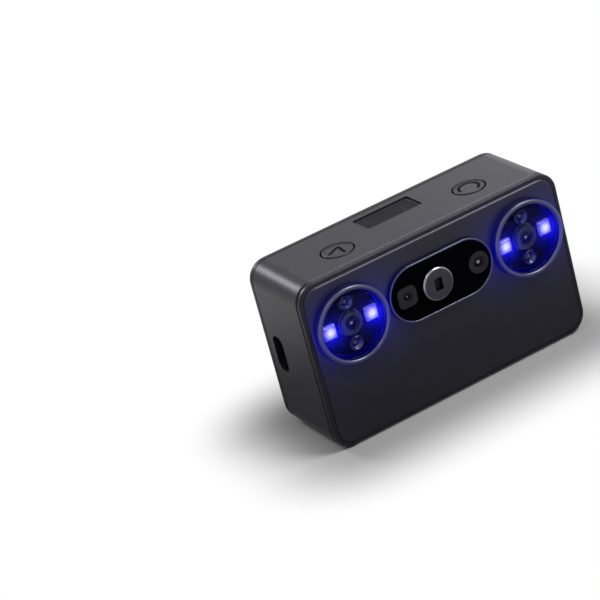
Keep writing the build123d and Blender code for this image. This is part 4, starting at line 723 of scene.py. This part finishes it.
# %% Threaded bush
INCH, TURNS_PER_INCH = 25.4, 20
PITCH, THREAD_DEPTH, BORE_RADIUS = INCH / TURNS_PER_INCH, 0.5, 2.55
THREAD_ROWS, THREAD_STOP = 90, 0.3
BUSH_BEVEL, MOUTH_BEVEL = 0.2, 0.4
bush_low, bush_high = span("tripod_bush")
bush_middle = ((bush_low + bush_high) / 2)[:2]
bush_radius = (bush_high[0] - bush_low[0]) / 2
turn = np.arange(RING_POINTS) / RING_POINTS
heights = np.linspace(bush_low[2] + MOUTH_BEVEL, bush_high[2] - THREAD_STOP, THREAD_ROWS)
wave = np.abs((heights[:, None] / PITCH - turn) % 1 * 2 - 1)
fade = np.clip(np.minimum(heights - heights[0], heights[-1] - heights) / PITCH, 0, 1)[:, None]
wall = BORE_RADIUS + THREAD_DEPTH * wave * fade
radii = [bush_radius, bush_radius, bush_radius - BUSH_BEVEL, BORE_RADIUS + MOUTH_BEVEL, *wall, BORE_RADIUS]
levels = [bush_high[2], bush_low[2] + BUSH_BEVEL, bush_low[2], bush_low[2], *heights, bush_high[2]]
bush_grid = turned(bush_middle, radii, levels, "Z")
bush = make_piece("threaded_bush", [bush_grid], dark_brass, closed=True)
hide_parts("tripod_bush")

# %% [markdown]
# ## Screws in the underside
# Each screw has a six-lobed recess, a circle whose radius swings with six times the angle. The head and the
# shank are plain rings about the same axis.

# %% Lobed screws
HEAD_RADIUS, HEAD_HEIGHT, HEAD_BEVEL, SHANK_RADIUS = 1.5, 0.9, 0.15, 0.8
RECESS_RADIUS, RECESS_DEPTH, RECESS_FLOOR_SHARE = 0.72, 0.55, 0.9
LOBES, LOBE_SWING = 6, 0.12
screw_low, screw_high = span("under_screws")
lobes = RECESS_RADIUS + LOBE_SWING * np.cos(LOBES * 2 * np.pi * turn)
radii = [0, lobes * RECESS_FLOOR_SHARE, lobes, HEAD_RADIUS - HEAD_BEVEL, HEAD_RADIUS, HEAD_RADIUS,
         SHANK_RADIUS, SHANK_RADIUS, 0]
levels = [RECESS_DEPTH, RECESS_DEPTH, 0, 0, HEAD_BEVEL, HEAD_HEIGHT, HEAD_HEIGHT, screw_high[2],
          screw_high[2]]
screw_y = (screw_low[1] + screw_high[1]) / 2
screws = [turned((x, screw_y), radii, levels, "Z")
          for x in (screw_low[0] + HEAD_RADIUS, screw_high[0] - HEAD_RADIUS)]
screw_piece = make_piece("lobed_screws", screws, black_oxide)
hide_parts("under_screws")

# %% [markdown]
# ## Contacts in the sockets
# A socket's tongue carries a row of gilt contacts on its upper and lower faces. Each is a short flat bar.

# %% Socket contacts
CONTACT_WIDTH, CONTACT_THICKNESS, CONTACT_SINK = 0.28, 0.04, 1.0
CONTACT_POINTS = 4
# Thickness of each tongue, and number, spacing and length of the contacts on either face
USB_ROW = {"node": "usb_port", "tongue": 0.8, "count": 6, "pitch": 0.9, "length": 4.6}
DATA_ROW = {"node": "data_port", "tongue": 1.9, "count": 5, "pitch": 1.3, "length": 4.4}
for name, row in {"usb": USB_ROW, "data": DATA_ROW}.items():
    low, high = span(row["node"])
    _, mid_y, mid_z = (low + high) / 2
    start_x = high[0] - CONTACT_SINK - row["length"]
    strips = []
    for face in (-1, 1):
        for i in range(row["count"]):
            start_y = mid_y + (i - (row["count"] - 1) / 2) * row["pitch"]
            start = np.array([start_x, start_y, mid_z + face * row["tongue"] / 2])
            path = np.linspace(start, start + [row["length"], 0, 0], CONTACT_POINTS)
            strips.append(bar(path, CONTACT_WIDTH, CONTACT_THICKNESS, UP))
    make_piece(name + "_contacts", strips, brass)

# %% [markdown]
# ## Light of the screen's picture
# A display's picture is light, in rows of pixels. Real rows are a tenth of a millimetre apart. They are
# drawn wider here, as a faint ripple in brightness, so that they show from near by.

# %% Screen picture finishes
PIXEL_ROW_MM, PIXEL_DIM_SHARE = 0.5, 0.85


def glowing(name, hex_colour, strength, attribute=None):
    """A lit part of the picture: a glow with faint pixel rows, times an attribute of the mesh if named."""
    finish, tree, place = empty_finish(name)
    height = add(tree, "ShaderNodeSeparateXYZ", {0: place}).outputs[2]
    rows = number(tree, "SINE", number(tree, "MULTIPLY", height, 2 * math.pi / (PIXEL_ROW_MM * MM)))
    level = ranged(tree, rows, (-1, 1), (PIXEL_DIM_SHARE * strength, strength))
    if attribute:
        shade = add(tree, "ShaderNodeAttribute", attribute_name=attribute).outputs["Fac"]
        level = number(tree, "MULTIPLY", level, shade)
    shade_with(tree, Base_Color=linear("#050505"), Emission_Color=linear(hex_colour), Emission_Strength=level)
    return finish


white_glow = glowing("display_white", "#E8EEF0", strength=0.9)
green_glow = glowing("display_green", "#6FCF97", strength=0.6)
blue_glow = glowing("display_blue", "#2AA8F2", strength=1.0, attribute="shade")
print("pixel rows", PIXEL_ROW_MM, "mm apart")

# %% [markdown]
# ## Marks on the screen
# Beside the picture are a few small marks that stand for icons and readings, a dial, and a green gauge of
# distance with a white mark. They are thin plates just under the cover glass, each a short bar or a closed
# ring.

# %% Screen marks and gauge
PICTURE_MM = 0.04
STROKE_POINTS = 3
# Both ends of each stroke across the display, its height from the display's middle and its width
STROKES = ((40.2, 37.8, 19.0, 2.0), (33.6, 31.4, 19.0, 1.8), (30.2, 27.6, 19.0, 1.0),
           (-24.0, -27.2, 19.4, 1.0), (-28.6, -31.0, 19.4, 1.8), (-33.0, -36.4, 19.4, 1.6),
           (41.5, 30.5, -15.6, 1.1), (41.5, 34.0, -19.0, 1.1))
GAUGE_X, GAUGE_Z, GAUGE_ROWS, GAUGE_WIDTH = (41.0, 39.2), (-12.0, 14.0), 27, 0.75
GAUGE_MARK = (42.0, 38.2, 0.3, 0.9)
# Place of the dial across and up, its radius and the width of its line
DIAL = (-19.5, 19.4, 1.3, 0.6)
picture_y = display_high[1] + PICTURE_MM
mid_z = display_middle[2]


def line(x0, x1, z, width):
    """A level stroke on the display, from x0 to x1, at a height from its middle."""
    path = np.linspace([x0, picture_y, mid_z + z], [x1, picture_y, mid_z + z], STROKE_POINTS)
    return bar(path, width, PICTURE_MM, BACK)


def loop(x, z, radius, width, points=28):
    """A small ring on the display: radius times cosine across it and times sine up it."""
    angle = np.linspace(0, 2 * np.pi, points, endpoint=False)
    across, up = x + radius * np.cos(angle), mid_z + z + radius * np.sin(angle)
    path = np.stack([across, np.full(points, picture_y), up], axis=-1)
    return bar(path, width, PICTURE_MM, BACK, closed=True)


make_piece("screen_marks", [line(*stroke) for stroke in STROKES], white_glow)
make_piece("screen_dial", [loop(*DIAL)], white_glow, closed=True)
gauge = [line(*GAUGE_X, z, GAUGE_WIDTH) for z in np.linspace(*GAUGE_Z, GAUGE_ROWS)]
make_piece("screen_gauge", gauge, green_glow)
make_piece("screen_gauge_mark", [line(*GAUGE_MARK)], white_glow)

# %% [markdown]
# ## Scanned vase on the screen
# The display shows a scan in progress: a plain two-handled vase in blue. Its outline is a neck and a sum of
# smooth bumps. Each point's brightness comes from the turn of a round body towards the light, with faint
# bands up it. The handles are bars along two arcs.

# %% Vase
VASE_ROWS, VASE_COLUMNS = 60, 40
VASE_FOOT, VASE_HEIGHT, VASE_NECK = -18.2, 35.0, 4.2
# Reach of each bump in millimetres, and its height and breadth as shares of the vase's height
VASE_BUMP_SHARES = ((6.6, 0.48, 0.24), (2.2, 1.0, 0.10), (2.0, 0.0, 0.07))
FRONT_LIGHT, SIDE_LIGHT, LEAST_LIGHT = 0.62, 0.42, 0.08
BANDS, BAND_LIGHT = 9, 0.2
shape = (VASE_ROWS, 2 * VASE_COLUMNS)
level = np.linspace(0, 1, VASE_ROWS)
swells = [reach * np.exp(-((level - at) / breadth) ** 2) for reach, at, breadth in VASE_BUMP_SHARES]
outline = VASE_NECK + sum(swells)
turn = np.linspace(-1, 1, VASE_COLUMNS)
around = np.concatenate([turn, turn[::-1]])
depth = np.repeat([PICTURE_MM / 2, -PICTURE_MM / 2], VASE_COLUMNS)
rise = (mid_z + VASE_FOOT + VASE_HEIGHT * level)[:, None]
vase = np.stack([np.outer(outline, around), np.broadcast_to(picture_y + depth, shape),
                 np.broadcast_to(rise, shape)], axis=-1)
ends = [np.broadcast_to(vase[i].mean(axis=0), (1, 2 * VASE_COLUMNS, 3)) for i in (0, -1)]
vase = np.concatenate([ends[0], vase, ends[1]])
roundness = np.clip(FRONT_LIGHT * np.sqrt(1 - around ** 2) + SIDE_LIGHT * around, LEAST_LIGHT, 1)
bands = 1 - BAND_LIGHT + BAND_LIGHT * np.cos(2 * np.pi * BANDS * level)
shade = np.outer(np.concatenate([bands[:1], bands, bands[-1:]]), roundness)
make_piece("screen_scan", [vase], blue_glow, shade=shade)

# %% Handles of the vase
HANDLE_X, HANDLE_Z, HANDLE_REACH, HANDLE_RISE, HANDLE_WIDTH = 8.0, 6.5, 3.6, 6.0, 1.6
HANDLE_POINTS, HANDLE_RADIANS, HANDLE_LIGHT = 24, 1.9, 0.6
angle = np.linspace(-HANDLE_RADIANS, HANDLE_RADIANS, HANDLE_POINTS)
across = HANDLE_X + HANDLE_REACH * np.cos(angle)
up = mid_z + HANDLE_Z + HANDLE_RISE * np.sin(angle)
paths = [np.stack([side * across, np.full(HANDLE_POINTS, picture_y), up], axis=-1) for side in (-1, 1)]
handles = [bar(path, HANDLE_WIDTH, PICTURE_MM, BACK) for path in paths]
shade = np.full(sum(handle[..., 0].size for handle in handles), HANDLE_LIGHT)
make_piece("screen_scan_handles", handles, blue_glow, shade=shade)

# %% [markdown]
# ## Floor
# The part stands on a pale floor, which keeps its shadow and turns white a hand's breadth away, so that it
# melts into the background. The grey zone round the part is a painted shadow pool: near the part the floor
# is grey paint lit by the lamps, farther out it is white emission. In mirror images the white begins farther
# out, a wider painted shade, so the lower sides of the casing stay dark. From below the floor is clear, and
# under the part it lets light through, so that the underside shows.

# %% Floor finish
FLOOR_HALF_MM, FLOOR_DROP_MM = 2500.0, 0.3
# Distances are taken from an outline that lies inside the part's own by this much, across and deep
UNDER_INSETS_MM = (CASING_CORNER, 4.0)
# The white begins at the first distance and is full at the second, seen straight and in a mirror image
SEEN_FADE_MM, MIRROR_FADE_MM = (5.0, 53.0), (50.0, 145.0)
# Half of a height that no point of the floor reaches, so that only distances across and deep count
TALL = (1.0,)
WHITE = (1, 1, 1, 1)


def background_rays(tree):
    """Kinds of ray, and a share that is one for those that show the background: seen straight, mirrored or
    through glass."""
    rays = add(tree, "ShaderNodeLightPath").outputs
    total = 0.0
    for kind in ("Is Camera Ray", "Is Glossy Ray", "Is Transmission Ray"):
        total = number(tree, "ADD", rays[kind], total, use_clamp=True)
    return rays, total


half_size = tuple(v - inset * MM for v, inset in zip(cad_box[1], UNDER_INSETS_MM)) + TALL
floor_finish, tree, place = empty_finish("studio_floor")
outside = vector(tree, "SUBTRACT", vector(tree, "ABSOLUTE", place), half_size)
distance = vector(tree, "LENGTH", vector(tree, "MAXIMUM", outside, (0, 0, 0)))
rays, shown = background_rays(tree)
fades = zip(SEEN_FADE_MM, MIRROR_FADE_MM)
begin, full = [ranged(tree, rays["Is Glossy Ray"], end=(a * MM, b * MM)) for a, b in fades]
# Painted shadow pool: grey paint near the part, turning to white emission with distance from it
painted_pool_fade = ranged(tree, distance, (begin, full), interpolation_type="SMOOTHSTEP")
white = number(tree, "MULTIPLY", painted_pool_fade, shown)
# Grey paint of the floor, which makes the painted shadow pool round the part and takes the real shadow
painted_pool_grey = add(tree, "ShaderNodeBsdfDiffuse", {"Color": linear("#ACACAC")}).outputs[0]
shine = add(tree, "ShaderNodeEmission", {"Color": WHITE, "Strength": 1.0}).outputs[0]
above = add(tree, "ShaderNodeMixShader", {0: white, 1: painted_pool_grey, 2: shine}).outputs[0]
below = add(tree, "ShaderNodeNewGeometry").outputs["Backfacing"]
under = number(tree, "LESS_THAN", distance, FLOOR_DROP_MM * MM)
under = number(tree, "SUBTRACT", under, rays["Is Camera Ray"], use_clamp=True)
unseen = number(tree, "MAXIMUM", below, under)
clear = add(tree, "ShaderNodeBsdfTransparent").outputs[0]
both = add(tree, "ShaderNodeMixShader", {0: unseen, 1: above, 2: clear}).outputs[0]
add(tree, "ShaderNodeOutputMaterial", {"Surface": both})
print("floor is clear under", [round(2 * v / MM, 1) for v in half_size[:2]], "mm")

# %% Floor
corners = np.array([(-1, -1), (1, -1), (1, 1), (-1, 1)]) * FLOOR_HALF_MM
corners = np.column_stack([corners, np.full(len(corners), -FLOOR_DROP_MM)]) * MM
mesh = bpy.data.meshes.new("floor")
mesh.from_pydata(corners.tolist(), [], [range(len(corners))])
mesh.materials.append(floor_finish)
floor = bpy.data.objects.new("floor", mesh)
bpy.context.scene.collection.objects.link(floor)
print("floor", 2 * FLOOR_HALF_MM, "mm, facing up:", mesh.polygons[0].normal.z > 0)

# %% [markdown]
# ## Surround and lamps
# The surround is white where it is seen, and sheds only a little light itself. A soft key light hangs over
# the right front, so the shadow falls behind to the left. A smaller light stands behind the left shoulder,
# where it draws the bright line along the rounded upper corner. A weak one brightens the rear, and another
# catches the front edges.

# %% Surround
AMBIENT = 0.12
world = bpy.data.worlds.new("white_surround")
world.use_nodes = True
tree = world.node_tree
tree.nodes.clear()
_, shown = background_rays(tree)
strength = ranged(tree, shown, end=(AMBIENT, 1))
surround = add(tree, "ShaderNodeBackground", {"Color": WHITE, "Strength": strength}).outputs[0]
add(tree, "ShaderNodeOutputWorld", {"Surface": surround})
bpy.context.scene.world = world
print("surround sheds", AMBIENT, "of white")

# %% Lamps
# All lamps aim at the middle of the part. Places and sizes in metres, power in watts.
TARGET = (0.0, 0.0, 0.036)
SOFTBOXES = {
    "key_softbox": {"place": (0.45, -0.45, 0.75), "size": 0.42, "watts": 7.5},
    "shoulder_softbox": {"place": (-0.335, 0.736, 0.532), "size": 0.28, "watts": 3.4},
    "rear_softbox": {"place": (0.45, 0.50, 0.30), "size": 0.30, "watts": 0.18},
    "catch_softbox": {"place": (-0.48, -0.18, 0.80), "size": 0.30, "watts": 0.9}}
for name, box in SOFTBOXES.items():
    lamp = bpy.data.lights.new(name, "AREA")
    lamp.shape = "SQUARE"
    lamp.size = box["size"]
    lamp.energy = box["watts"]
    holder = bpy.data.objects.new(name, lamp)
    place = box["place"]
    holder.location = place
    aim = Vector(TARGET) - Vector(place)
    holder.rotation_euler = aim.to_track_quat("-Z", "Y").to_euler()
    bpy.context.scene.collection.objects.link(holder)
print("softboxes", list(SOFTBOXES))

# %% [markdown]
# ## Camera
# The camera stands where the photograph's did. A box of the part's size was fitted to the edges in the
# picture, which gave the camera's place, its turn and its focal length in pixels.

# %% Camera
SENSOR_MM = 36.0
FOCAL_PIXELS, PICTURE_PIXELS = 2595, 600
CAMERA_PLACE = (-0.41371, -0.82988, 0.47545)
CAMERA_TURN_DEG = (64.4335, 14.0239, -30.2431)
camera_data = bpy.data.cameras.new("camera")
camera_data.sensor_width = SENSOR_MM
camera_data.lens = SENSOR_MM * FOCAL_PIXELS / PICTURE_PIXELS
camera = bpy.data.objects.new("camera", camera_data)
camera.location = CAMERA_PLACE
camera.rotation_euler = np.radians(CAMERA_TURN_DEG)
bpy.context.scene.collection.objects.link(camera)
bpy.context.scene.camera = camera
bpy.context.scene.view_settings.view_transform = "Standard"
print("camera lens", round(camera_data.lens, 1), "mm")
